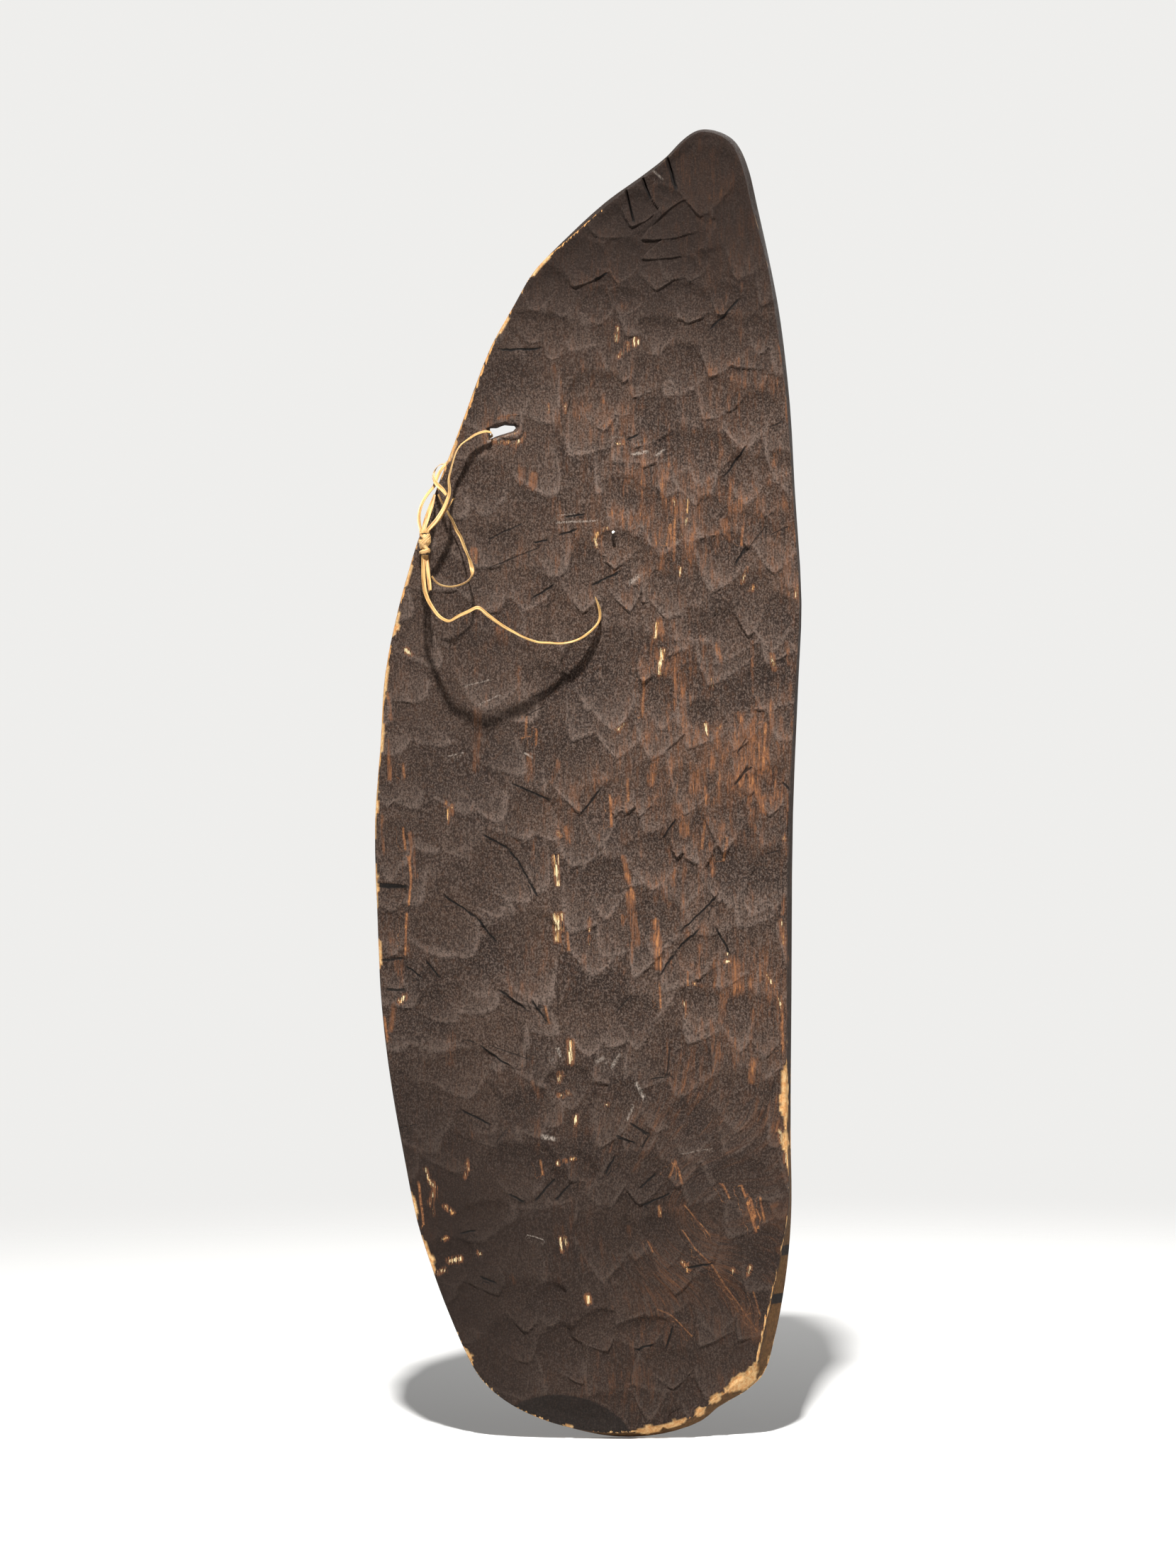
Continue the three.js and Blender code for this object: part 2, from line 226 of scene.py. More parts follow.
def ring_skin(rings: list[list[Vector]], cap_start: bool = True, cap_end: bool = True) -> BMesh:
    """Skins equal rings of points by extruding the first ring's edges from ring to ring.

    Args:
        rings: lists of points, all as long, in order along the piece.
        cap_start: whether the first ring is filled.
        cap_end: whether the last ring is filled.

    Returns:
        The new bmesh, whose vertices are in the rings' order.
    """
    mesh = bmesh.new()
    verts = [mesh.verts.new(point) for point in rings[0]]
    edges = [mesh.edges.new((a, b)) for a, b in zip(verts, verts[1:] + verts[:1])]
    if cap_start:
        mesh.faces.new(verts)
    for ring in rings[1:]:
        made = bmesh.ops.extrude_edge_only(mesh, edges=edges)["geom"]
        fresh = {item for item in made if isinstance(item, BMVert)}
        verts = [
            next(edge.other_vert(vert) for edge in vert.link_edges if edge.other_vert(vert) in fresh)
            for vert in verts
        ]
        for vert, point in zip(verts, ring):
            vert.co = point
        edges = [mesh.edges.get((a, b)) for a, b in zip(verts, verts[1:] + verts[:1])]
    if cap_end:
        mesh.faces.new(verts)
    bmesh.ops.recalc_face_normals(mesh, faces=mesh.faces)
    return mesh


def join(whole: BMesh, part: BMesh) -> None:
    """Moves a bmesh into another one."""
    data = bpy.data.meshes.new("part")
    part.to_mesh(data)
    part.free()
    whole.from_mesh(data)
    bpy.data.meshes.remove(data)


def map_strip(strip: BMesh, rings: list, width: float, length: float) -> None:
    """Gives a flat strip a UV map of metres across and along it.

    Args:
        strip: the skin of rings that run across its upper side and back along its lower one.
        rings: those rings.
        width: the strip's width on the map.
        length: the strip's length.
    """
    uv = strip.loops.layers.uv.new(STRIP_UV)
    strip.verts.index_update()
    corners = len(rings[0])
    last = corners // 2 - 1
    for face in strip.faces:
        for loop in face.loops:
            ring, corner = divmod(loop.vert.index, corners)
            across = min(corner, corners - 1 - corner)
            loop[uv].uv = (across / last * width, ring / (len(rings) - 1) * length)


def place_object(name: str, data: bpy.types.ID) -> Object:
    """Puts data into the scene as an object."""
    made = bpy.data.objects.new(name, data)
    bpy.context.scene.collection.objects.link(made)
    return made


def new_object(name: str, mesh: BMesh) -> Object:
    """Turns a bmesh into an object of the scene."""
    data = bpy.data.meshes.new(name)
    mesh.to_mesh(data)
    mesh.free()
    return place_object(name, data)


def apply_modifiers(piece: Object) -> None:
    """Turns an object's modified shape into its mesh."""
    piece.data = bpy.data.meshes.new_from_object(piece.evaluated_get(bpy.context.evaluated_depsgraph_get()))
    piece.modifiers.clear()


def search_tree(points: list | Array) -> kdtree.KDTree:
    """Makes a tree that finds the nearest of some points."""
    tree = kdtree.KDTree(len(points))
    for index, point in enumerate(points):
        tree.insert(point, index)
    tree.balance()
    return tree


def shade(piece: Object, sharp_degrees: float) -> None:
    """Shades a piece smooth, with creases where faces meet at more than an angle."""
    piece.data.shade_smooth()
    piece.data.set_sharp_from_angle(angle=math.radians(sharp_degrees))


@dataclass(frozen=True)
class Pattern:
    """One fractal noise: its cells to a metre, its layers, its roughness and how it is stretched."""

    scale: float | NodeSocket
    detail: float
    rough: float
    stretch: tuple[float, float, float] = (1.0, 1.0, 1.0)


class Shader:
    """Builds one node tree, for a material or for a group that materials share."""

    MIX_FACTOR, MIX_FIRST, MIX_SECOND, MIX_RESULT = 0, 6, 7, 2

    def __init__(self, tree: NodeTree) -> None:
        """Starts with an empty tree."""
        self.tree = tree
        tree.nodes.clear()

    def add(self, kind: str, inputs: dict | None = None, **settings: object) -> bpy.types.Node:
        """Adds a node.

        Args:
            kind: the node's type name.
            inputs: input names or numbers, each with a value or a socket to link.
            settings: the node's own properties.

        Returns:
            The new node.
        """
        node = self.tree.nodes.new(kind)
        for name, value in settings.items():
            setattr(node, name, value)
        for name, value in (inputs or {}).items():
            if isinstance(value, NodeSocket):
                self.tree.links.new(value, node.inputs[name])
            else:
                node.inputs[name].default_value = value
        return node

    def math(self, operation: str, first: object, second: object = 0.0) -> NodeSocket:
        """Adds a Math node and gives its value."""
        return self.add("ShaderNodeMath", {0: first, 1: second}, operation=operation).outputs[0]

    def times(self, first: object, second: object) -> NodeSocket:
        """Multiplies two values."""
        return self.math("MULTIPLY", first, second)

    def plus(self, first: object, second: object) -> NodeSocket:
        """Adds two values."""
        return self.math("ADD", first, second)

    def minus(self, first: object, second: object) -> NodeSocket:
        """Takes the second value from the first."""
        return self.math("SUBTRACT", first, second)

    def total(self, *parts: tuple[object, float]) -> NodeSocket:
        """Adds up values, each times its own weight."""
        sums = [self.times(value, weight) for value, weight in parts]
        result = sums[0]
        for value in sums[1:]:
            result = self.plus(result, value)
        return result

    def fade(
        self, value: object, low: float, high: float, start: float = 0.0, end: float = 1.0
    ) -> NodeSocket:
        """Maps a value from low..high to start..end with soft ends."""
        inputs = {"Value": value, "From Min": low, "From Max": high, "To Min": start, "To Max": end}
        return self.add("ShaderNodeMapRange", inputs, interpolation_type="SMOOTHSTEP").outputs["Result"]

    def mix(self, factor: object, first: object, second: object) -> NodeSocket:
        """Mixes two colours and gives the result."""
        inputs = {self.MIX_FACTOR: factor, self.MIX_FIRST: first, self.MIX_SECOND: second}
        return self.add("ShaderNodeMix", inputs, data_type="RGBA").outputs[self.MIX_RESULT]

    def over(self, base: object, mask: object, tint: object, amount: object = 1.0) -> NodeSocket:
        """Lays a tint over a colour, as strongly as a mask times an amount."""
        return self.mix(self.times(mask, amount), base, tint)

    def noise(self, vector: NodeSocket, pattern: Pattern) -> NodeSocket:
        """Adds fractal noise and gives its value, about 0.5 in the middle."""
        if pattern.stretch != Pattern.stretch:
            vector = self.add("ShaderNodeMapping", {"Vector": vector, "Scale": pattern.stretch}).outputs[0]
        inputs = {"Vector": vector, "Scale": pattern.scale, "Detail": pattern.detail, "Roughness": pattern.rough}
        return self.add("ShaderNodeTexNoise", inputs).outputs["Fac"]

    def mask(self, name: str) -> NodeSocket:
        """Reads one of the mesh's own masks."""
        return self.add("ShaderNodeAttribute", attribute_name=name).outputs["Fac"]

    def bump(self, height: object, strength: float, distance: float) -> NodeSocket:
        """Adds a Bump node and gives its normal."""
        inputs = {"Height": height, "Strength": strength, "Distance": distance}
        return self.add("ShaderNodeBump", inputs).outputs[0]


def colour(red: int, green: int, blue: int) -> tuple[float, float, float, float]:
    """Turns a colour as a picture stores it into the linear colour that a shader takes."""
    linear = [(c / 255 / 12.92) if c <= 10 else ((c / 255 + 0.055) / 1.055) ** 2.4 for c in (red, green, blue)]
    return (*linear, 1.0)


class Effects:
    """The node groups that a finish places with its own values."""

    def __init__(self) -> None:
        """Builds each group once."""
        self.streaks = self._streaks()
        self.specks = self._specks()

    @staticmethod
    def _group(name: str, output: str, **sizes: float) -> tuple[NodeTree, Shader, bpy.types.Node]:
        """Starts a group that takes coordinates and sizes and gives one value.

        Args:
            name: the group's name.
            output: the value's name.
            sizes: each size's name and default.

        Returns:
            The group's tree, its builder and its input node.
        """
        tree = bpy.data.node_groups.new(name, "ShaderNodeTree")
        tree.interface.new_socket("Vector", in_out="INPUT", socket_type="NodeSocketVector")
        for title, default in sizes.items():
            socket = tree.interface.new_socket(title, in_out="INPUT", socket_type="NodeSocketFloat")
            socket.default_value = default
        tree.interface.new_socket(output, in_out="OUTPUT", socket_type="NodeSocketFloat")
        shader = Shader(tree)
        return tree, shader, shader.add("NodeGroupInput")

    def _streaks(self) -> NodeTree:
        """Long thin streaks along Z, as wood grain shows."""
        tree, shader, entry = self._group("lengthwise streaks", "Streak", Fineness=500.0)
        long_way = Pattern(entry.outputs["Fineness"], 4.0, 0.62, (1.0, 1.0, 0.07))
        fine = shader.noise(entry.outputs["Vector"], long_way)
        shader.add("NodeGroupOutput", {"Streak": shader.fade(fine, 0.36, 0.64)})
        return tree

    def _specks(self) -> NodeTree:
        """Small ragged specks, more of them where a mask is stronger."""
        tree, shader, entry = self._group("ragged specks", "Speck", Size=600.0, Amount=0.5)
        long_way = Pattern(entry.outputs["Size"], 4.0, 0.7, (1.0, 1.0, 0.1))
        grains = shader.noise(entry.outputs["Vector"], long_way)
        limit = shader.fade(entry.outputs["Amount"], 0.0, 1.0, 0.78, 0.36)
        shader.add("NodeGroupOutput", {"Speck": shader.fade(shader.minus(grains, limit), 0.0, 0.035)})
        return tree


@dataclass(frozen=True)
class Finish:
    """A material's name and the groups that it may use."""

    name: str
    effects: Effects

    def start(self) -> Material:
        """Makes the material."""
        material = bpy.data.materials.new(self.name)
        material.use_nodes = True
        return material

    def close(self, shader: Shader, inputs: dict) -> None:
        """Adds the surface, with the Principled BSDF's inputs as values or sockets, and the output."""
        surface = shader.add("ShaderNodeBsdfPrincipled", inputs)
        shader.add("ShaderNodeOutputMaterial", {"Surface": surface.outputs[0]})


class WoodTree(Shader):
    """The smoked wood's nodes: the patterns that its layers share, and the colour as the layers make it."""

    def __init__(self, tree: NodeTree, wood: "SmokedWood") -> None:
        """Adds the coordinates, noises and masks, and starts with the clouded ground colour.

        Args:
            tree: the material's tree.
            wood: the finish.
        """
        super().__init__(tree)
        self.wood = wood
        self.place = self.add("ShaderNodeTexCoord").outputs["Object"]
        self.axes = self.add("ShaderNodeSeparateXYZ", {0: self.place}).outputs
        self.across, self.up = self.axes[0], self.axes[2]
        inputs = {"Vector": self.place, "Fineness": wood.grain_fineness}
        self.streak = self.add("ShaderNodeGroup", inputs, node_tree=wood.effects.streaks).outputs["Streak"]
        self.clouds = self.noise(self.place, Pattern(14.0, 5.0, 0.6))
        self.hand = self.noise(self.place, Pattern(10.0, 3.0, 0.5))
        self.mottle = self.noise(self.place, Pattern(320.0, 6.0, 0.75, (1.0, 1.0, 0.7)))
        self.grit = self.noise(self.place, Pattern(700.0, 4.0, 0.7, (1.0, 1.0, 0.75)))
        self.hewn = self.noise(self.place, Pattern(26.0, 1.0, 0.4, (1.0, 1.0, 0.4)))
        flow = self._bent_grain()
        self.fibres = self.noise(flow, Pattern(620.0, 4.0, 0.62, (1.0, 1.0, 0.06)))
        self.streaky = self.noise(flow, Pattern(210.0, 5.0, 0.7, (1.0, 1.0, 0.16)))
        # tone: each cut's random tone, with painted shade in the foot's scoop; hollow: painted shade in deep places
        # and inside the slot.
        self.tone, self.hollow, self.fleck = self.mask("tone"), self.mask("hollow"), self.mask("fleck")
        # tip: painted highlight, with some dust, towards each cut's up-facing tip.
        tip = self.mask("tip")
        self.tip = self.times(tip, tip)
        self.foot = self.fade(self.up, -0.16, -0.42)
        self.base = self.mix(self.fade(self.clouds, 0.3, 0.62), wood.soot_and_shade, wood.ground)

    def lay(self, mask: object, tint: object, amount: object = 1.0) -> None:
        """Lays a tint over the colour so far, as strongly as a mask times an amount."""
        self.base = self.over(self.base, mask, tint, amount)

    def _bent_grain(self) -> NodeSocket:
        """Leans the grain's coordinates over to the left where the wood runs round a knot.

        Returns:
            The bent coordinates.
        """
        wood = self.wood
        right, up = self.minus(self.across, wood.bend_middle[0]), self.minus(self.up, wood.bend_middle[1])
        away = self.plus(self.times(right, right), self.times(up, up))
        fall = self.math("EXPONENT", self.math("DIVIDE", away, -2 * wood.bend_reach**2))
        drop = self.minus(up, -wood.bend_reach)
        leaning = self.times(self.times(drop, self.math("ABSOLUTE", drop)), fall)
        bent = self.plus(self.across, self.times(leaning, wood.bend_lean / wood.bend_reach))
        return self.add("ShaderNodeCombineXYZ", {0: bent, 1: self.axes[1], 2: self.up}).outputs[0]

    def _line(self, name: str, gone: float, full: float, broken: object) -> NodeSocket:
        """Draws a line that is full and gone at two distances in half widths, broken up by a noise."""
        off = self.math("ABSOLUTE", self.mask(f"{name}_side"))
        return self.times(self.times(self.fade(off, gone, full), self.mask(name)), broken)

    def _specks(self, amount: object, size: float) -> NodeSocket:
        """Places the group of ragged specks."""
        inputs = {"Vector": self.place, "Amount": amount, "Size": size}
        return self.add("ShaderNodeGroup", inputs, node_tree=self.wood.effects.specks).outputs["Speck"]

    def smoke(self) -> None:
        """Lays soot, dust and brown over the ground colour, by the adze's cuts and by the noises, with painted
        highlights on the cuts' tips and ridges and painted shade in the hollows and the foot's scoop.
        """
        wood = self.wood
        # Soot by each cut's random tone, and painted shade in the foot's scoop, whose tone is 1.5.
        self.lay(self.fade(self.tone, 0.0, 1.5, 0.0, 0.8), wood.soot_and_shade)
        # Painted highlight, with some dust, towards each cut's up-facing tip.
        self.lay(self.tip, wood.dust_and_highlight, 0.45)
        # Painted highlight along the ridges at the cuts' rims.
        self.lay(self.mask("ridge_highlight"), wood.dust_and_highlight, self.fade(self.mottle, 0.38, 0.56, 0.25, 0.9))
        # Painted shade in the deeper hollows and inside the slot.
        self.lay(self.hollow, wood.soot_and_shade, 0.14)
        self.lay(self.fade(self.grit, 0.47, 0.62), wood.dust_and_highlight, 0.62)
        self.lay(self.fade(self.grit, 0.5, 0.37), wood.soot_and_shade, 0.85)
        self.lay(self.fade(self.mottle, 0.5, 0.36), wood.soot_and_shade, 0.4)
        self.lay(self.fade(self.mottle, 0.5, 0.64), wood.umber, 0.35)
        self.lay(self.fade(self.fibres, 0.48, 0.34), wood.soot_and_shade, 0.5)

    def rub_red(self) -> None:
        """Wears the soot through to red wood, more on the right side and where the placed rubs are."""
        wood = self.wood
        side = self.fade(self.across, -0.17, 0.12, -0.09, 0.05)
        worn = ((self.streaky, 1.0), (self.hand, 0.7), (side, 1.0), (self.tip, 0.06), (self.hollow, -0.04))
        rub = self.total(*worn)
        lines = self.fade(self.fibres, 0.44, 0.6)
        self.lay(self.fade(rub, 0.84, 1.14), wood.rubbed, 0.3)
        self.lay(self.times(self.fade(rub, 0.95, 1.12), lines), wood.rubbed, 0.75)
        bright = self.times(self.times(self.fade(rub, 1.0, 1.16), lines), self.fade(self.mottle, 0.5, 0.62))
        self.lay(bright, wood.orange, 0.6)
        placed, streaks, fibres = self.mask("rub"), self.minus(self.streaky, 0.5), self.minus(self.fibres, 0.5)
        patchy = self.total((placed, 1.0), (streaks, 1.5), (fibres, 2.2))
        self.lay(self.times(self.fade(patchy, 0.3, 1.25), placed), wood.rubbed, 0.85)
        self.lay(self.times(self.fade(patchy, 0.95, 1.45), placed), wood.orange, 0.7)

    def darken_ends(self) -> None:
        """Darkens the upper end, the foot and the left side, draws the copper threads over that, and paints
        near-black shade into the foot's scoop.
        """
        wood = self.wood
        upper_end = self.fade(self.up, 0.3, 0.52)
        smoke = self.math("MAXIMUM", self.times(upper_end, 0.86), self.times(self.foot, 0.66))
        self.lay(self.total((smoke, 1.0), (self.fade(self.across, 0.02, -0.16), 0.27)), wood.soot_and_shade)
        thread = self._line("thread", 1.4, 0.4, self.fade(self.grit, 0.36, 0.52, 0.25, 1.0))
        self.lay(thread, self.mix(self.fade(self.mottle, 0.46, 0.62), wood.rubbed, wood.orange), 0.7)
        # Painted shade, near black, in the foot's scoop, where the tone is above 1.
        self.lay(self.fade(self.tone, 1.1, 1.45, 0.0, 0.62), wood.black_and_shade)

    def break_open(self) -> tuple[NodeSocket, NodeSocket]:
        """Lays on scratches, splinters, the wall's paint, worn edges with a painted highlight on part of the left
        edge, chips, and cracks with painted shadow lines.

        Returns:
            The share of bare wood and that of cracks and painted shadow lines.
        """
        wood, mottle = self.wood, self.mottle
        scratch = self._line("scratch", 1.5, 0.3, self.fade(self.grit, 0.4, 0.56, 0.1, 1.0))
        self.lay(self.times(scratch, self.mask("scratch")), wood.chalk, 0.62)
        self.lay(self._specks(wood.stray_amount, wood.stray_size), wood.raw, 0.75)
        halo = self.times(self.fade(self.fleck, 0.0, 0.5), self.fade(self.fibres, 0.4, 0.56))
        self.lay(halo, wood.rubbed, 0.6)
        fleck = self._specks(self.times(self.fleck, 0.8), wood.fleck_size)
        # Raw wood on the worn edges, and on part of the left edge a painted highlight.
        worn = self._specks(self.mask("arris"), wood.worn_size)
        raw = self.mix(self.fade(mottle, 0.3, 0.55), wood.orange, wood.raw)
        clean = self.mix(self.fade(mottle, 0.42, 0.62, 0.0, 0.45), raw, wood.pale)
        self.lay(self.mask("paint"), self._paint())
        self.lay(worn, self.mix(self.foot, raw, clean))
        self.lay(fleck, self.mix(self.fade(self.streak, 0.1, 0.6), raw, wood.pale))
        self.lay(self.mask("chip"), clean)
        # Dark lines: cracks, and painted shadow below steps, in the upper nicks and beside the right edge's chipped
        # strip.
        crack_and_shadow = self._line("crack_and_shadow", 1.3, 0.6, self.fade(mottle, 0.34, 0.48, 0.35, 1.0))
        self.lay(crack_and_shadow, wood.black_and_shade, 0.95)
        return self.math("MAXIMUM", fleck, worn), crack_and_shadow

    def _paint(self) -> NodeSocket:
        """Makes the side wall's ochre with its black bars, sooty towards the top.

        Returns:
            The paint's colour.
        """
        wood = self.wood
        height = self.total((self.up, 1.0), (self.clouds, 0.006))
        bars = 0.0
        for middle in wood.bar_heights:
            off = self.math("ABSOLUTE", self.minus(height, middle))
            bars = self.math("MAXIMUM", bars, self.fade(off, *wood.bar_edges))
        paint = self.over(wood.ochre, self.streak, wood.rubbed, 0.25)
        paint = self.over(paint, self.fade(self.mottle, 0.4, 0.6), wood.soot_and_shade, 0.4)
        paint = self.over(paint, bars, wood.black_and_shade)
        return self.over(paint, self.fade(self.up, -0.36, -0.28, 0.0, 0.95), wood.soot_and_shade)

    def height(self, bare: object, crack_and_shadow: object) -> NodeSocket:
        """Makes the fine unevenness, with shallow gouges on the back and the cracks and painted shadow lines sunk
        in.

        Args:
            bare: the share of bare wood.
            crack_and_shadow: the share of cracks.

        Returns:
            crack_and_shadow: the share of cracks and painted shadow lines.
        """
        normal = self.add("ShaderNodeNewGeometry").outputs["Normal"]
        behind = self.fade(self.add("ShaderNodeSeparateXYZ", {0: normal}).outputs[1], 0.3, 0.7)
        gouges = self.times(self.hewn, behind)
        noises = ((self.mottle, 0.7), (self.grit, 0.5), (gouges, 3.0), (self.fibres, 0.5))
        return self.total(*noises, (bare, -0.4), (crack_and_shadow, -0.8))


@dataclass(frozen=True)
class SmokedWood(Finish):
    """Hand-adzed wood, dark with soot and handling, rubbed red and chipped to raw wood in places, with painted
    highlights on its cuts' tips and ridges and painted shade in its hollows, its scoop and below its steps.
    """

    # The soot's colour. It is also used as painted shade in the hollows, inside the slot and in the foot's scoop.
    soot_and_shade: tuple = colour(38, 28, 23)
    ground: tuple = colour(80, 62, 51)
    # A dusty grey. It is also used as a painted highlight on the cuts' tips and ridges.
    dust_and_highlight: tuple = colour(132, 114, 103)
    umber: tuple = colour(96, 68, 50)
    rubbed: tuple = colour(142, 93, 62)
    orange: tuple = colour(206, 142, 88)
    raw: tuple = colour(220, 166, 104)
    pale: tuple = colour(250, 226, 176)
    chalk: tuple = colour(196, 182, 168)
    ochre: tuple = colour(101, 73, 39)
    # Black for the wall's bars and the cracks, and also for painted shade in the scoop and below steps.
    black_and_shade: tuple = colour(26, 23, 21)
    grain_fineness: float = 520.0
    fleck_size: float = 1000.0
    stray_size: float = 700.0
    worn_size: float = 380.0
    stray_amount: float = 0.13
    bar_heights: tuple = (-0.427, -0.471)
    bar_edges: tuple = (0.0052, 0.004)
    bend_middle: tuple = (0.094, -0.446)
    bend_reach: float = 0.052
    bend_lean: float = 0.8
    relief: float = 0.0026

    def build(self) -> Material:
        """Builds the material.

        Returns:
            The finished material.
        """
        material = self.start()
        layers = WoodTree(material.node_tree, self)
        layers.smoke()
        layers.rub_red()
        layers.darken_ends()
        bare, crack_and_shadow = layers.break_open()
        rough = layers.fade(layers.mottle, 0.3, 0.7, 0.56, 0.74)
        inputs = {
            "Base Color": layers.base,
            "Roughness": layers.total((rough, 1.0), (bare, 0.15)),
            "Specular IOR Level": 0.14,
            "Normal": layers.bump(layers.height(bare, crack_and_shadow), 1.0, self.relief),
        }
        self.close(layers, inputs)
        return material


@dataclass(frozen=True)
class DryLeaf(Finish):
    """Split palm leaf: straw-coloured, with fine ribs along it and brown patches."""

    straw: tuple = colour(216, 174, 108)
    pale: tuple = colour(240, 210, 152)
    brown: tuple = colour(150, 98, 50)
    ribs: Pattern = Pattern(1300.0, 4.0, 0.7, (1.0, 0.02, 1.0))
    patches: Pattern = Pattern(420.0, 4.0, 0.6, (1.0, 0.12, 1.0))
    relief: float = 0.0003

    def build(self) -> Material:
        """Builds the material, whose pattern follows the strip's own UV map.

        Returns:
            The finished material.
        """
        material = self.start()
        shader = Shader(material.node_tree)
        along = shader.add("ShaderNodeUVMap", uv_map=STRIP_UV).outputs[0]
        ribs, patches = shader.noise(along, self.ribs), shader.noise(along, self.patches)
        base = shader.mix(shader.fade(patches, 0.3, 0.6), self.brown, self.straw)
        base = shader.over(base, shader.fade(ribs, 0.48, 0.66), self.pale)
        base = shader.over(base, shader.fade(ribs, 0.48, 0.38), self.brown, 0.85)
        inputs = {
            "Base Color": base,
            "Roughness": shader.fade(patches, 0.3, 0.7, 0.42, 0.62),
            "Specular IOR Level": 0.45,
            "Normal": shader.bump(ribs, 0.5, self.relief),
        }
        self.close(shader, inputs)
        return material


@dataclass(frozen=True)
class WornSteel(Finish):
    """A hand-driven nail: bright at its end, brown with rust down its shank, with painted shade on the lower right
    of its end.
    """

    end: float = 0.0
    middle: tuple = (0.0, 0.0)
    bright: tuple = colour(196, 192, 182)
    # The dark colour of the rust, and also of the painted shade on the end.
    dark_rust_and_shade: tuple = colour(52, 42, 34)
    rust: Pattern = Pattern(900.0, 5.0, 0.65)
    relief: float = 0.0003

    def build(self) -> Material:
        """Builds the material: bright steel on the upper left of the nail's end, and painted shade towards its lower
        right.

        Returns:
            The finished material.
        """
        material = self.start()
        shader = Shader(material.node_tree)
        place = shader.add("ShaderNodeTexCoord").outputs["Object"]
        parts = shader.add("ShaderNodeSeparateXYZ", {0: place}).outputs
        right, below = shader.minus(parts[0], self.middle[0]), shader.minus(self.middle[1], parts[2])
        # Painted shade towards the lower right of the nail's end, in the dark rust colour.
        shaded = shader.fade(shader.plus(right, below), 0.4 * MM, 1.6 * MM)
        rust = shader.noise(place, self.rust)
        down = shader.fade(parts[1], self.end + 1.0 * MM, self.end + 2.6 * MM)
        # Rust down the shank and in patches, together with the painted shade.
        rust_and_shade = shader.math("MAXIMUM", shader.math("MAXIMUM", down, shaded), shader.fade(rust, 0.5, 0.7))
        inputs = {
            "Base Color": shader.mix(rust_and_shade, self.bright, self.dark_rust_and_shade),
            "Metallic": shader.fade(rust_and_shade, 0.0, 1.0, 1.0, 0.2),
            "Roughness": shader.fade(rust_and_shade, 0.0, 1.0, 0.34, 0.7),
            "Normal": shader.bump(rust, 0.5, self.relief),
        }
        self.close(shader, inputs)
        return material


@dataclass(frozen=True)
class Stroke:
    """One cut of the adze: it hollows out below its head and comes up again to a pointed tip."""

    tip: tuple[float, float]
    head: tuple[float, float]
    width: float
    depth: float
    lift: float = 0.3 * MM
    lean: float = 0.0
    tone: float = 0.5
    heel: float = 0.34
    taper: float = 0.3
    point: float = 1.2

    def cut_into(self, face: "FaceMap") -> None:
        """Lays this stroke over what the face already has.

        Args:
            face: the face's places and depths, which this call changes.
        """
        run_x, run_z = self.tip[0] - self.head[0], self.tip[1] - self.head[1]
        length = math.hypot(run_x, run_z)
        reach = max(self.width, length) * 1.3
        near = np.nonzero((np.abs(face.x - self.tip[0]) < reach) & (np.abs(face.z - self.tip[1]) < reach))[0]
        if not near.size:
            return
        right, up = face.x[near] - self.head[0], face.z[near] - self.head[1]
        along = (right * run_x + up * run_z) / length**2
        toe = np.clip((along - self.heel) / (1 - self.heel), 0, None)
        back = np.clip((self.heel - along) / self.heel, 0, None)
        across = (right * run_z - up * run_x) / length / (self.width / 2)
        across = across / (1 - self.taper * np.clip(toe, 0, 1.2))
        pointed = 2.6 - self.point * np.clip(toe, 0, 1)
        outline = np.abs(across) ** pointed + toe**1.3 + back**2
        cover = smooth_step(1 - outline, 0, 0.07 + 0.55 * np.clip(back * 2, 0, 1))
        hollow = 1 - 0.95 * toe**1.55 - 0.95 * back**1.6 - 0.3 * np.abs(across) ** pointed + self.lean * across
        floor = self.lift + self.depth * hollow
        face.depth[near] += (floor - face.depth[near]) * cover
        # A rim near the tip, which is used as a painted ridge highlight.
        rim = smooth_step(outline, 0.78, 0.92) * smooth_step(toe, 0.2, 0.6)
        face.rim[near] += (rim - face.rim[near]) * cover
        face.toe[near] += (np.clip(toe, 0, 1) - face.toe[near]) * cover
        face.tone[near] += (self.tone - face.tone[near]) * cover


@dataclass
class FaceMap(Places):
    """Places on the carved face with the depth that the tools have cut there so far."""

    depth: Array = field(init=False)
    rim: Array = field(init=False)
    toe: Array = field(init=False)
    tone: Array = field(init=False)

    def __post_init__(self) -> None:
        """Starts with an uncut face."""
        self.depth = np.full(self.x.shape, 0.4 * MM)
        self.rim = np.zeros(self.x.shape)
        self.toe = np.zeros(self.x.shape)
        self.tone = np.full(self.x.shape, 0.5)


@dataclass
class LineField:
    """The nearest thin line at each place: how far off it is to one side or the other, and its strength."""

    side: Array
    strength: Array
    reach: float = 7.0

    @classmethod
    def empty(cls, count: int) -> "LineField":
        """Makes a field without lines, where each place is out of a line's reach."""
        return cls(np.full(count, cls.reach + 1), np.zeros(count))

    def lay(self, side: Array, strength: Array) -> None:
        """Adds a line where it is nearer than the others.

        Args:
            side: each place's distance from the line in half widths, signed by its side.
            strength: the line's strength beside each place.
        """
        off = np.abs(side)
        nearer = (off < np.abs(self.side)) & (off < self.reach) & (strength > 0)
        self.side[nearer] = side[nearer]
        self.strength[nearer] = strength[nearer]


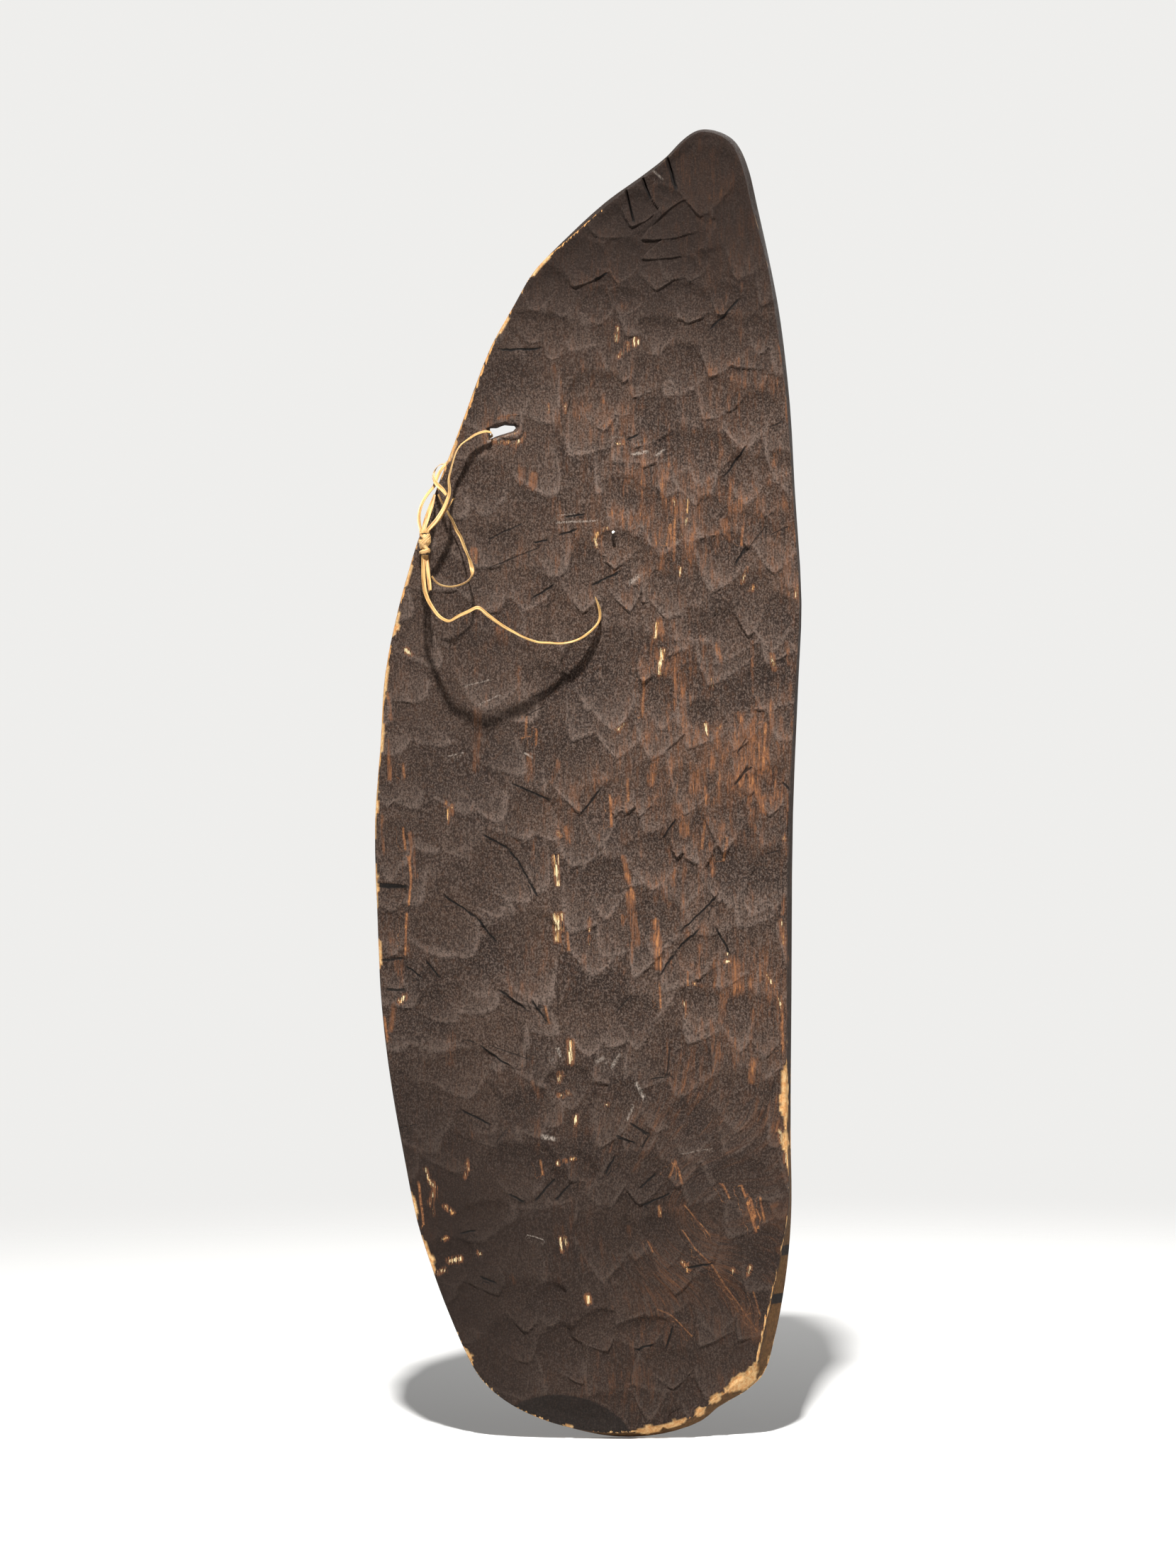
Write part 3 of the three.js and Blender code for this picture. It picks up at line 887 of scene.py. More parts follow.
@dataclass(frozen=True)
class Segment:
    """A straight line on the carved face: the pixel that it starts at and its run across and down from there."""

    across: float
    down: float
    run_across: float
    run_down: float

    def measure(self, at: Places) -> tuple[Array, Array, float]:
        """Measures places against the line.

        Args:
            at: the places.

        Returns:
            How far along the line and how far to its left each place is, and the line's length.
        """
        x0, z0 = PHOTO.place(self.across, self.down)
        x1, z1 = PHOTO.place(self.across + self.run_across, self.down + self.run_down)
        length = max(math.hypot(x1 - x0, z1 - z0), 0.1 * MM)
        ux, uz = (x1 - x0) / length, (z1 - z0) / length
        right, up = at.x - x0, at.z - z0
        return right * ux + up * uz, up * ux - right * uz, length


@dataclass(frozen=True)
class Ledge(Segment):
    """A short step, entered from left to right, where a chip broke off below it."""

    height: float = 1.2 * MM
    reach: float = 18 * MM
    fall: float = 1.4 * MM

    def _beside(self, at: Places) -> tuple[Array, Array]:
        """Gives how far above the step each place is, and a window that is 1 beside the step."""
        along, above, length = self.measure(at)
        window = smooth_step(along / length, -0.08, 0.12) * smooth_step(along / length, 1.08, 0.88)
        return at.shaken(above, (9, 5, 0.8), (3, 11, 0.5)), window

    def raise_face(self, at: Places) -> Array:
        """Works out how far each place stands proud of the face.

        Args:
            at: the places.

        Returns:
            The rise in metres.
        """
        above, window = self._beside(at)
        rise = np.where(above > 0, np.clip(1 - above / self.reach, 0, 1), np.clip(1 + above / self.fall, 0, 1))
        return rise * window * self.height

    def draw(self, at: Places, lines: LineField) -> None:
        """Adds a dark line, painted shadow just below the step, to a field of thin lines."""
        above, window = self._beside(at)
        lines.lay((above + 0.7 * MM) / (0.85 * MM), window)


@dataclass(frozen=True)
class Mark(Segment):
    """A rub, scratch, crack, painted shadow line or splinter on the carved face, with its half width in pixels."""

    half_width: float
    strength: float

    @classmethod
    def of(cls, groups: tuple) -> list["Mark"]:
        """Makes marks from rows that are grouped by their strength."""
        return [cls(*row, strength) for strength, rows in groups for row in rows]

    def _beside(self, at: Places, widened: float) -> tuple[Array, Array]:
        """Gives how far to the side and how far past an end each place is, in widened half widths."""
        along, side, length = self.measure(at)
        half = self.half_width * widened * PHOTO.pixel
        return side / half, np.clip(np.maximum(-along, along - length) / half, 0, None)

    def patch(self, at: Places) -> Array:
        """Gives the mark as a soft patch, from 0 outside it to its strength."""
        side, past = self._beside(at, 1.2)
        return self.strength * np.clip(1.15 - side**2 - past**2, 0, 1)

    def draw(self, at: Places, lines: LineField, widened: float) -> None:
        """Adds the mark to a field of thin lines."""
        side, past = self._beside(at, widened)
        lines.lay(side, self.strength * smooth_step(past, 2.0, 0.0))


@dataclass
class AdzedFace:
    """The relief of the carved face, as a depth below its uncut plane, and the masks of its wear."""

    strokes: list[Stroke] = field(default_factory=list)
    widen: float = 1.15
    deepen: float = 1.25
    scoop_px: tuple = (786, 2072)
    scoop_radius: float = 82 * MM
    pitch: float = 38 * MM
    half_row: int = 7
    lowest_row: float = -640 * MM
    highest_row: float = 660 * MM
    parting: float = -20 * MM
    right_cuts: tuple = ((64, 104), (-20, 16), (50, 78), (2.2, 3.3), 1.2)
    left_cuts: tuple = ((76, 112), (40, 12), (52, 80), (1.6, 2.6), 0.5)
    widest_thread: float = 3.5
    cuts_px: tuple = (
        (985, 308, 15, -112, 92, 3.2), (1046, 396, -10, -174, 66, 3.4), (931, 298, 11, -40, 44, 2.6),
        (840, 336, 32, -60, 96, 3.6), (890, 320, 18, -58, 54, 3.4), (904, 337, 100, -49, 42, 3),
        (904, 364, 98, -42, 36, 3), (938, 394, 30, -50, 66, 3.4), (972, 398, 10, -54, 50, 3.4),
        (808, 404, 28, -70, 72, 3), (870, 400, 20, -74, 54, 3), (788, 448, 18, -68, 54, 2.8),
        (750, 440, 18, -74, 54, 3.2), (748, 484, 8, -48, 54, 2.6), (776, 508, 16, -68, 40, 2.8),
        (846, 460, -8, -64, 64, 2.8), (880, 446, 4, -46, 50, 2.8), (925, 494, 5, -54, 52, 3.2),
        (966, 456, 20, -60, 64, 3.2), (1012, 444, 24, -48, 50, 3), (956, 560, 20, -82, 66, 3.6),
        (1000, 534, 34, -104, 74, 3.6), (1070, 504, 12, -68, 46, 3), (850, 610, -14, -94, 70, 3.8),
        (892, 560, 38, -60, 46, 2.8), (992, 594, 40, -68, 58, 3.2), (1050, 636, 0, -96, 78, 3.8),
        (722, 594, 4, -98, 66, 2.6), (890, 630, 54, -70, 58, 3.2), (940, 680, 22, -86, 62, 4),
        (984, 686, 22, -86, 62, 3.8), (1050, 714, 6, -82, 56, 4.4), (1078, 730, 10, -54, 34, 3.2),
        (1050, 772, 28, -50, 48, 3.2), (1096, 676, 14, -44, 38, 3), (1019, 832, 11, -90, 54, 4),
        (984, 760, 44, -60, 56, 3.4), (1012, 936, 38, -80, 64, 4), (1090, 922, -4, -94, 64, 3.8),
        (1056, 900, 6, -104, 54, 3.8), (736, 860, 20, -64, 56, 2.8), (684, 728, -4, -88, 76, 2.6),
        (690, 802, 18, -66, 60, 2.6), (862, 744, 24, -80, 50, 3.2), (886, 750, 46, -64, 50, 3),
        (866, 804, 6, -60, 54, 3), (893, 828, 29, -60, 36, 3.2), (906, 852, 40, -56, 40, 3),
        (868, 1034, -16, -162, 118, 4.6), (906, 964, 22, -74, 44, 3.2), (936, 1034, -6, -96, 56, 3.8),
        (950, 904, 54, -42, 46, 3), (956, 996, 24, -58, 46, 3.2), (684, 1004, 16, -124, 112, 2.8),
        (750, 990, 14, -60, 66, 2.8), (1086, 1010, -4, -80, 50, 3.2), (1040, 1040, 6, -90, 50, 3.4),
        (990, 1052, 10, -72, 46, 3.2), (846, 1196, 4, -100, 58, 4), (866, 1154, 10, -64, 32, 3),
        (900, 1152, 22, -86, 44, 3.4), (918, 1174, 14, -52, 44, 2.8), (964, 1150, 22, -76, 54, 3.6),
        (990, 1230, 10, -104, 38, 3.4), (954, 1210, 12, -62, 38, 3), (920, 1256, 6, -90, 74, 4.2),
        (1030, 1284, 0, -108, 66, 4), (1062, 1290, 4, -104, 58, 4), (1092, 1286, 4, -100, 50, 3.8),
        (1085, 1152, 5, -80, 54, 3.6), (1020, 1206, 6, -110, 62, 3.4), (856, 1298, 2, -96, 62, 3.4),
        (925, 1354, 7, -98, 58, 3.2), (790, 1186, -68, -74, 52, 2.8), (748, 1272, -76, -88, 78, 3.2),
        (706, 1296, -30, -60, 48, 2.8), (668, 1350, -64, -88, 92, 3.6), (768, 1416, -56, -130, 104, 3.4),
        (690, 1406, -48, -56, 44, 2.6), (640, 1444, -26, -56, 72, 2.8), (736, 1508, -42, -76, 52, 2.8),
        (830, 1494, 0, -104, 74, 3.4), (900, 1482, -2, -88, 58, 3.6), (984, 1460, 6, -76, 66, 3.6),
        (1040, 1480, 0, -96, 56, 3.4), (1076, 1496, 10, -100, 56, 3.2), (984, 1384, -8, -72, 60, 3),
        (550, 1246, 2, -96, 44, 3.2), (551, 1286, 1, -46, 42, 2.8), (553, 1350, -1, -74, 42, 3),
        (556, 1398, 0, -58, 42, 3), (545, 1140, 3, -80, 40, 2.8), (660, 1550, -20, -74, 88, 3.2),
        (698, 1598, -48, -46, 54, 2.6), (764, 1604, -38, -70, 62, 3), (806, 1566, -10, -66, 58, 3.2),
        (876, 1600, 4, -84, 46, 3.2), (800, 1664, 42, -34, 44, 3.6), (736, 1696, -2, -92, 84, 3.6),
        (690, 1744, -14, -54, 70, 3), (852, 1812, 4, -118, 80, 3.4), (780, 1700, 20, -50, 60, 3),
        (742, 1880, -6, -84, 60, 3), (780, 1872, -16, -66, 50, 3), (748, 1924, -40, -76, 64, 2.8),
        (822, 1956, -52, -90, 58, 3.8), (908, 1904, -8, -48, 74, 3.2), (858, 1906, -32, -56, 60, 3),
        (950, 1962, -4, -66, 70, 3.2), (1010, 1890, 2, -100, 70, 3), (868, 2024, -16, -66, 66, 3),
        (940, 1792, -2, -92, 64, 3.2), (900, 1700, 12, -80, 70, 3), (972, 1640, 8, -100, 70, 3),
        (1040, 1600, 2, -100, 74, 3.4), (1050, 1720, -10, -100, 70, 3.2), (1000, 1780, -20, -90, 60, 3),
        (610, 1620, -10, -100, 70, 2.8), (640, 1820, -8, -80, 60, 2.8),
    )
    ledges_px: tuple = (
        (838, 392, 18, -8), (704, 491, 58, -1), (1000, 464, 42, -44), (1020, 672, 32, -44), (722, 1105, 54, 21),
        (680, 1175, 40, 22), (718, 1196, 32, 48), (746, 1240, 12, 24), (705, 1395, 39, 29), (750, 1410, 24, 32),
        (600, 1353, 21, 25), (625, 1260, 49, 34), (670, 1290, 30, 38), (930, 1376, 22, -36), (950, 1342, 36, -34),
        (960, 1312, 52, -50), (1036, 1106, 18, -26), (818, 1148, 28, -36), (934, 1182, 18, -28),
        (1010, 1308, 20, 38), (678, 1474, 40, 28), (652, 1566, 40, 20), (718, 1684, 22, 10), (902, 1676, 22, -22),
        (904, 1700, 40, -18), (872, 1604, 24, 7), (853, 1656, 13, -26), (754, 1694, 28, -32), (782, 1692, 20, -22),
        (648, 1738, 22, -3), (678, 1800, 22, 9), (888, 1584, 26, 16), (834, 824, 38, -18), (750, 843, 30, -20),
        (752, 764, 20, -4), (796, 728, 28, -4), (788, 754, 26, -9), (884, 618, 16, -6), (1036, 795, 16, -25),
        (532, 1248, 42, 3), (896, 1902, 26, -6), (938, 1902, 10, -30), (572, 1362, 24, 16), (966, 1788, 40, -8),
    )
    flecks_px: tuple = (
        (1, ((842, 752, -4, 9, 3.2),)),
        (0.95, ((934, 916, -4, 32, 4.2), (781, 1208, 6, 40, 3.4), (828, 1830, 2, 6, 4.6))),
        (0.9, (
            (1059, 832, 4, -6, 2.6), (927, 878, -3, 20, 3.4), (995, 1020, 2, 16, 2.8), (783, 1290, 3, 36, 4.6),
            (1026, 1345, 1, 1, 2), (1023, 1356, 6, 0, 2.2), (978, 1386, 2, 3, 2.2), (855, 1558, 2, 1, 2.4),
            (812, 1574, -1, 12, 2.6), (838, 761, 4, 10, 2.6),
        )),
        (0.85, (
            (971, 704, -3, 20, 2.4), (628, 1132, 1, 2, 2.4), (632, 1140, -1, 16, 2.6), (1082, 1376, 8, 14, 2.2),
            (1098, 1594, 6, 18, 4), (564, 1413, 6, -7, 4), (600, 1648, 4, 16, 2.4), (658, 1640, 2, 10, 2.8),
            (657, 1654, -1, 6, 2.2), (786, 1640, 1, 2, 2.8), (805, 1635, 5, -1, 3), (790, 1746, 2, 18, 2.2),
            (796, 1746, 3, 10, 2.8), (675, 1767, 2, 2, 2.6), (850, 747, 6, -3, 2.6),
        )),
        (0.8, (
            (870, 462, -1, 18, 3), (895, 476, -2, 10, 2.5), (899, 479, 0, 5, 2.5), (950, 703, 1, 13, 2),
            (968, 730, -1, 12, 2.2), (960, 800, -2, 12, 2.4), (1054, 800, -8, 22, 2), (1003, 956, 1, 12, 2),
            (1014, 1027, 4, -4, 2.2), (871, 1029, 4, -3, 3), (879, 1022, 1, -1, 2.4), (1124, 826, -1, 16, 2.4),
            (1107, 1180, -2, 4, 2.4), (637, 1136, 1, 10, 1.8), (787, 1174, 3, 5, 3), (787, 1206, 1, 30, 2),
            (791, 1288, 1, 24, 3.4), (831, 1298, 0, 14, 2.4), (1100, 1408, 1, 14, 3.4), (929, 1702, 2, 14, 2),
            (962, 1780, 5, 8, 2.6), (969, 1784, 1, 10, 2.2), (1058, 1786, -3, 10, 3), (1108, 1600, 0, 40, 2.4),
            (805, 1470, -1, 28, 5.4), (799, 1541, 2, 2, 3), (625, 1748, 4, -2, 3.6), (634, 1779, 14, -3, 5),
            (571, 916, 7, 5, 4), (868, 625, 12, 0, 2),
        )),
        (0.75, (
            (884, 484, 0, 8, 3.5), (975, 760, 0, 12, 2), (972, 774, 1, 14, 2.4), (1088, 924, 4, 18, 4),
            (1102, 1300, 3, 30, 3), (788, 1545, 4, 1, 3.4), (606, 1668, 8, 8, 3.4), (796, 1637, 2, 1, 2.4),
            (616, 1796, 10, -5, 3.6), (773, 570, 1, 10, 1.8),
        )),
        (0.7, (
            (878, 495, -6, 8, 2.5), (963, 740, -1, 17, 2), (797, 1168, 3, 8, 2.6), (879, 1292, -1, 8, 2.2),
            (965, 1412, 2, 22, 2), (1033, 1790, -1, 8, 2.4), (1104, 1262, -1, 26, 2.2), (789, 1514, -1, 10, 3.4),
            (627, 1702, 11, 9, 3.6), (797, 572, 1, 10, 1.8),
        )),
        (0.65, ((831, 1322, 1, 10, 2.6),)),
        (0.62, ((668, 776, 3, 14, 5),)),
        (0.6, ((612, 1680, -5, 18, 4), (610, 1704, 1, 8, 3))),
    )
    rubs_px: tuple = (
        (1, (
            (1099, 486, 6, 26, 4), (1054, 1084, 25, 62, 5), (879, 1208, 13, 58, 4.6), (924, 1300, 4, 64, 7),
            (1062, 1496, -2, 28, 7), (1047, 1674, 19, 64, 3), (547, 1046, 2, 52, 4), (576, 1208, 4, 36, 2.8),
            (579, 1244, -3, 32, 2.8), (573, 1288, -2, 58, 2.6), (546, 978, 5, 36, 4),
        )),
        (0.9, (
            (1108, 530, 4, 62, 4), (1010, 912, 6, 18, 5), (1042, 1005, 10, 40, 5), (1080, 1020, -4, 65, 3.4),
            (924, 1068, -6, 36, 7), (860, 1120, 2, 45, 2.6), (888, 1262, 9, 68, 8), (930, 1388, 2, 32, 2.4),
            (1058, 1690, 11, 42, 3), (1103, 1430, 1, 50, 3.4), (757, 1028, -2, 24, 3), (568, 1168, 3, 30, 2.8),
            (555, 1416, -3, 36, 5), (542, 1436, 5, 34, 3), (590, 1668, 7, 60, 3), (752, 670, -2, 16, 7),
            (700, 590, 28, -4, 5),
        )),
        (0.8, (
            (1020, 735, 8, 22, 8), (1047, 744, -1, 24, 3), (928, 874, 8, 26, 7), (1068, 985, -6, 60, 4),
            (1110, 905, 2, 31, 4), (908, 955, -2, 55, 3), (985, 1084, -7, 28, 10), (995, 1110, 3, 24, 3.6),
            (885, 1098, 1, 32, 2.6), (957, 1138, 10, 38, 9), (1001, 1184, 4, 52, 4), (1108, 1110, 3, 52, 4),
            (890, 1330, 2, 26, 5), (970, 1370, 0, 20, 2.6), (1034, 1355, 7, 41, 12), (955, 1640, 6, 28, 3),
            (1018, 1670, 11, 20, 3), (886, 1730, 3, 16, 4), (578, 1176, 9, 60, 5),
        )),
        (0.74, ((1010, 1780, 56, 100, 22),)),
        (0.7, (
            (886, 664, -8, 28, 8), (940, 662, 3, 14, 5), (952, 716, -2, 74, 3), (944, 738, -4, 32, 3),
            (936, 778, -4, 22, 6), (1012, 750, -2, 30, 4), (1098, 632, -6, 22, 7), (922, 906, 4, 20, 6),
            (952, 915, 4, 85, 8), (1060, 905, 2, 100, 4), (914, 1014, 12, 32, 6), (1001, 1060, 1, 22, 4),
            (994, 1158, -4, 42, 3.4), (1026, 1180, -6, 36, 3.4), (988, 1334, 2, 32, 6), (1030, 1390, -14, 52, 6),
            (1010, 1474, 2, 18, 10), (952, 1638, -8, 22, 3), (907, 1626, -11, 26, 5), (1072, 1690, 6, 32, 3),
            (914, 1750, 6, 16, 2.4), (674, 1000, -3, 84, 7), (731, 940, -1, 46, 4), (748, 1066, -4, 32, 8),
            (788, 1074, -10, 28, 6), (742, 1010, -1, 30, 3), (568, 1078, 2, 18, 3), (538, 1150, 3, 54, 4),
            (800, 1316, 2, 24, 3), (560, 1354, 5, 38, 6), (768, 1418, 6, 24, 3.4), (752, 1528, 10, 20, 6),
            (762, 1638, 4, 20, 3), (721, 1800, 4, 10, 5), (734, 660, 0, 20, 6),
        )),
        (0.65, ((980, 1762, 23, 21, 2.2), (1003, 1783, 19, 29, 2.4))),
        (0.62, ((955, 1700, 80, 80, 24),)),
        (0.6, ((637, 1462, -3, 36, 9), (845, 1744, 8, 40, 5), (782, 706, 6, 22, 9), (962, 1735, 18, 27, 1.8))),
        (0.56, ((905, 1850, 70, 35, 18),)),
        (0.55, ((965, 1700, 39, 46, 1.8), (1062, 1822, 11, 36, 2.2))),
        (0.5, ((970, 1800, 50, 80, 20), (1022, 1812, 23, 33, 1.8), (948, 1856, 28, 29, 1.8))),
        (0.45, ((925, 1846, 23, 10, 1.8),)),
        (0.4, ((1045, 1845, 23, 33, 1.8),)),
    )
    scratches_px: tuple = (
        (1, ((892, 640, 20, -4, 2.2), (897, 1528, 12, 21, 2.6), (766, 1603, 14, 3, 3.2))),
        (0.9, (
            (739, 1062, 12, 6, 1.4), (926, 641, 10, -8, 1.8), (786, 1478, 5, 14, 2.4), (688, 622, 18, -5, 1.6),
            (706, 617, 24, -9, 1.4),
        )),
        (0.8, (
            (785, 736, 57, -2, 1.4), (632, 1066, 20, -5, 1.1), (743, 1742, 26, 7, 0.9), (888, 822, 12, -10, 3),
            (862, 1506, 11, -18, 2.4), (842, 1497, 10, -5, 2.4), (884, 1580, 9, -20, 1.6), (886, 216, 8, -12, 2.2),
        )),
        (0.7, (
            (787, 726, 25, -2, 1), (655, 968, 35, -10, 1.1), (674, 994, 32, -15, 1.1), (862, 615, 18, 2, 1.2),
            (916, 236, 18, 16, 1.6), (1086, 272, 4, 10, 1.2),
        )),
        (0.6, ((960, 1628, 44, -8, 0.9),)),
    )
    # Dark lines: real cracks, and painted shadow in the upper nicks, below steps and beside the right edge's chipped
    # strip.
    cracks_and_shadows_px: tuple = (
        (1, (
            (840, 822, 34, -16, 1.3), (882, 264, 12, 47, 1.7), (905, 250, 12, 28, 1.7), (941, 224, 12, 40, 2.6),
            (536, 1247, 36, 3, 2),
        )),
        (0.9, (
            (1112, 1140, 2, 120, 1.7), (1113, 1260, -1, 240, 1.7), (546, 1396, 24, 0, 1.8),
            (540, 1354, 26, -2, 1.8), (888, 1584, 28, 16, 1.3), (916, 1600, -10, 18, 1.2), (870, 1602, 12, 6, 1.4),
            (1036, 1106, 10, -14, 1.2), (1046, 1092, 14, -10, 1.2), (1104, 1104, 10, 10, 1.4),
        )),
        (0.8, (
            (1086, 602, 26, -12, 0.9), (688, 760, 48, -22, 1.1), (945, 1476, -5, 44, 1), (918, 1522, 32, -4, 1),
        )),
        (0.7, (
            (1088, 753, 24, -11, 0.9), (690, 800, 70, -28, 1), (1096, 1200, -16, 5, 0.9), (560, 1592, 26, -6, 0.9),
            (1040, 1062, 12, -20, 1.1), (870, 1426, 20, -22, 1),
        )),
        (0.6, (
            (1050, 780, 28, -36, 1), (656, 1466, 12, 4, 0.9), (750, 1496, -60, -22, 0.9), (740, 1010, 28, -14, 1),
            (766, 1418, 6, 24, 0.8),
        )),
        (0.5, ((700, 1612, 16, -22, 0.8),)),
    )

    def __post_init__(self) -> None:
        """Lays out staggered rows of cuts, and then the cuts that the photograph shows, the lowest first."""
        draw = np.random.default_rng(SEED)
        row, z = 0, self.lowest_row
        while z < self.highest_row:
            for column in range(-self.half_row, self.half_row + 1):
                x = (column + (row % 2) * 0.5 + draw.uniform(-0.22, 0.22)) * self.pitch
                lengths, turns, widths, depths, point = self.right_cuts if x > self.parting else self.left_cuts
                length = draw.uniform(*lengths) * MM
                turn = math.radians(draw.normal(*turns))
                tip = (x, z + draw.uniform(-18, 18) * MM)
                head = (tip[0] - math.sin(turn) * length, tip[1] + math.cos(turn) * length)
                width, depth = draw.uniform(*widths) * MM, draw.uniform(*depths) * MM
                lift, lean, tone = draw.uniform(0.2, 0.6) * MM, draw.uniform(-0.3, 0.3), draw.uniform(0, 1)
                self.strokes.append(Stroke(tip, head, width, depth, lift, lean, tone, point=point))
            z += draw.uniform(38, 50) * MM
            row += 1
        for cut in sorted(self.cuts_px, key=lambda cut: -cut[1]):
            tip, head = PHOTO.place(*cut[:2]), PHOTO.place(cut[0] + cut[2], cut[1] + cut[3])
            width, depth = cut[4] * self.widen * PHOTO.pixel, cut[5] * self.deepen * MM
            lift, lean, tone = draw.uniform(0.1, 0.4) * MM, draw.uniform(-0.25, 0.25), draw.uniform(0, 1)
            point = 1.2 if cut[0] > 800 else 0.7
            self.strokes.append(Stroke(tip, head, width, depth, lift, lean, tone, point=point))

    def carve(self, at: Places) -> tuple[Array, dict]:
        """Works out how deep the tools cut.

        Args:
            at: the places.

        Returns:
            Each place's depth below the uncut face in metres, and the masks of the painted highlights on
            the ridges between cuts and towards each cut's tip, and of each cut's own tone, which paints shade into
            the scoop.
        """
        bent_x = at.shaken(at.x, (24, 1, 1.2), (5, 7, 0.25))
        face = FaceMap(bent_x, at.shaken(at.z, (26, 2, 1.3), (6, 8, 0.35)))
        for stroke in self.strokes:
            stroke.cut_into(face)
        depth = face.depth
        for row in self.ledges_px:
            depth = depth - Ledge(*row).raise_face(at)
        scoop_x, scoop_z = PHOTO.place(*self.scoop_px)
        inside = self.scoop_radius - np.hypot(at.x - scoop_x, (at.z - scoop_z) * 1.15)
        scooped = smooth_step(inside, 0, 5 * MM)
        depth = depth * (1 - 0.6 * scooped) + np.clip(inside, 0, 34 * MM) * 0.15
        depth = depth + (at.noise(190, 3) + 1) * 0.6 * MM
        depth = Places(at.x * 2.2, at.z * 0.4).shaken(at.shaken(depth, (13, 4, 0.14)), (5, 6, 0.1))
        flat = 1 - scooped
        # The ridge and tip masks are painted highlights; the scoop's tone of 1.5 paints shade into it.
        masks = {"ridge_highlight": face.rim * flat, "tip": face.toe * flat, "tone": np.maximum(face.tone, scooped * 1.5)}
        return np.clip(depth, 0, None), masks

    @staticmethod
    def patches(groups: tuple, at: Places) -> Array:
        """Gives the mask of marks that are soft patches.

        Args:
            groups: the marks' rows, grouped by their strength.
            at: the places.

        Returns:
            The strongest mark's share at each place.
        """
        mask = np.zeros(at.x.shape)
        for mark in Mark.of(groups):
            mask = np.maximum(mask, mark.patch(at))
        return mask

    def thin_lines(self, at: Places) -> dict:
        """Gives the fields of the pale scratches, the dark cracks with painted shadow lines, and the thin rubbed
        threads.

        Args:
            at: the places.

        Returns:
            For each of the three, a signed distance in half widths and a strength.
        """
        bent = Places(at.shaken(at.x, (7, 9, 0.4)), at.shaken(at.z, (7, 10, 0.4)))
        threads = [mark for mark in Mark.of(self.rubs_px) if mark.half_width < self.widest_thread]
        scratches, cracks_and_shadows = Mark.of(self.scratches_px), Mark.of(self.cracks_and_shadows_px)
        fields = {}
        for name, marks, widened in ("thread", threads, 0.55), ("scratch", scratches, 1.0), ("crack_and_shadow", cracks_and_shadows, 1.0):
            fields[name] = LineField.empty(at.x.size)
            for mark in marks:
                mark.draw(bent, fields[name], widened)
        # Painted shadow lines below the ledges' steps.
        for row in self.ledges_px:
            Ledge(*row).draw(at, fields["crack_and_shadow"])
        sides = {f"{name}_side": lines.side for name, lines in fields.items()}
        return sides | {name: lines.strength for name, lines in fields.items()}


@dataclass(frozen=True)
class EdgeChip:
    """A place on the carved face's edge where wood broke away, to raw wood: pixels, and a depth in millimetres."""

    across: float
    down: float
    length: float
    width: float
    depth: float

    def bite(self, at: Places, inset: Array) -> Array:
        """Works out the chip.

        Args:
            at: the places.
            inset: each place's distance from the edge.

        Returns:
            A share from 0 outside the chip to 1 at its deepest.
        """
        ragged = 1 + at.noise(6, 21) * 0.35
        along = self.lens(at)
        inward = np.clip(1 - inset / (self.width * PHOTO.pixel * ragged * (0.2 + 0.8 * along)), 0, 1)
        return smooth_step(along, 0.0, 0.25) * smooth_step(inward, 0.0, 0.4)

    def lens(self, at: Places) -> Array:
        """Falls from 1 in the chip's middle to 0 at its ends."""
        x, z = PHOTO.place(self.across, self.down)
        far = np.hypot(at.x - x, at.z - z) / (self.length * PHOTO.pixel / 2)
        return np.clip(1 - far**2, 0, 1)


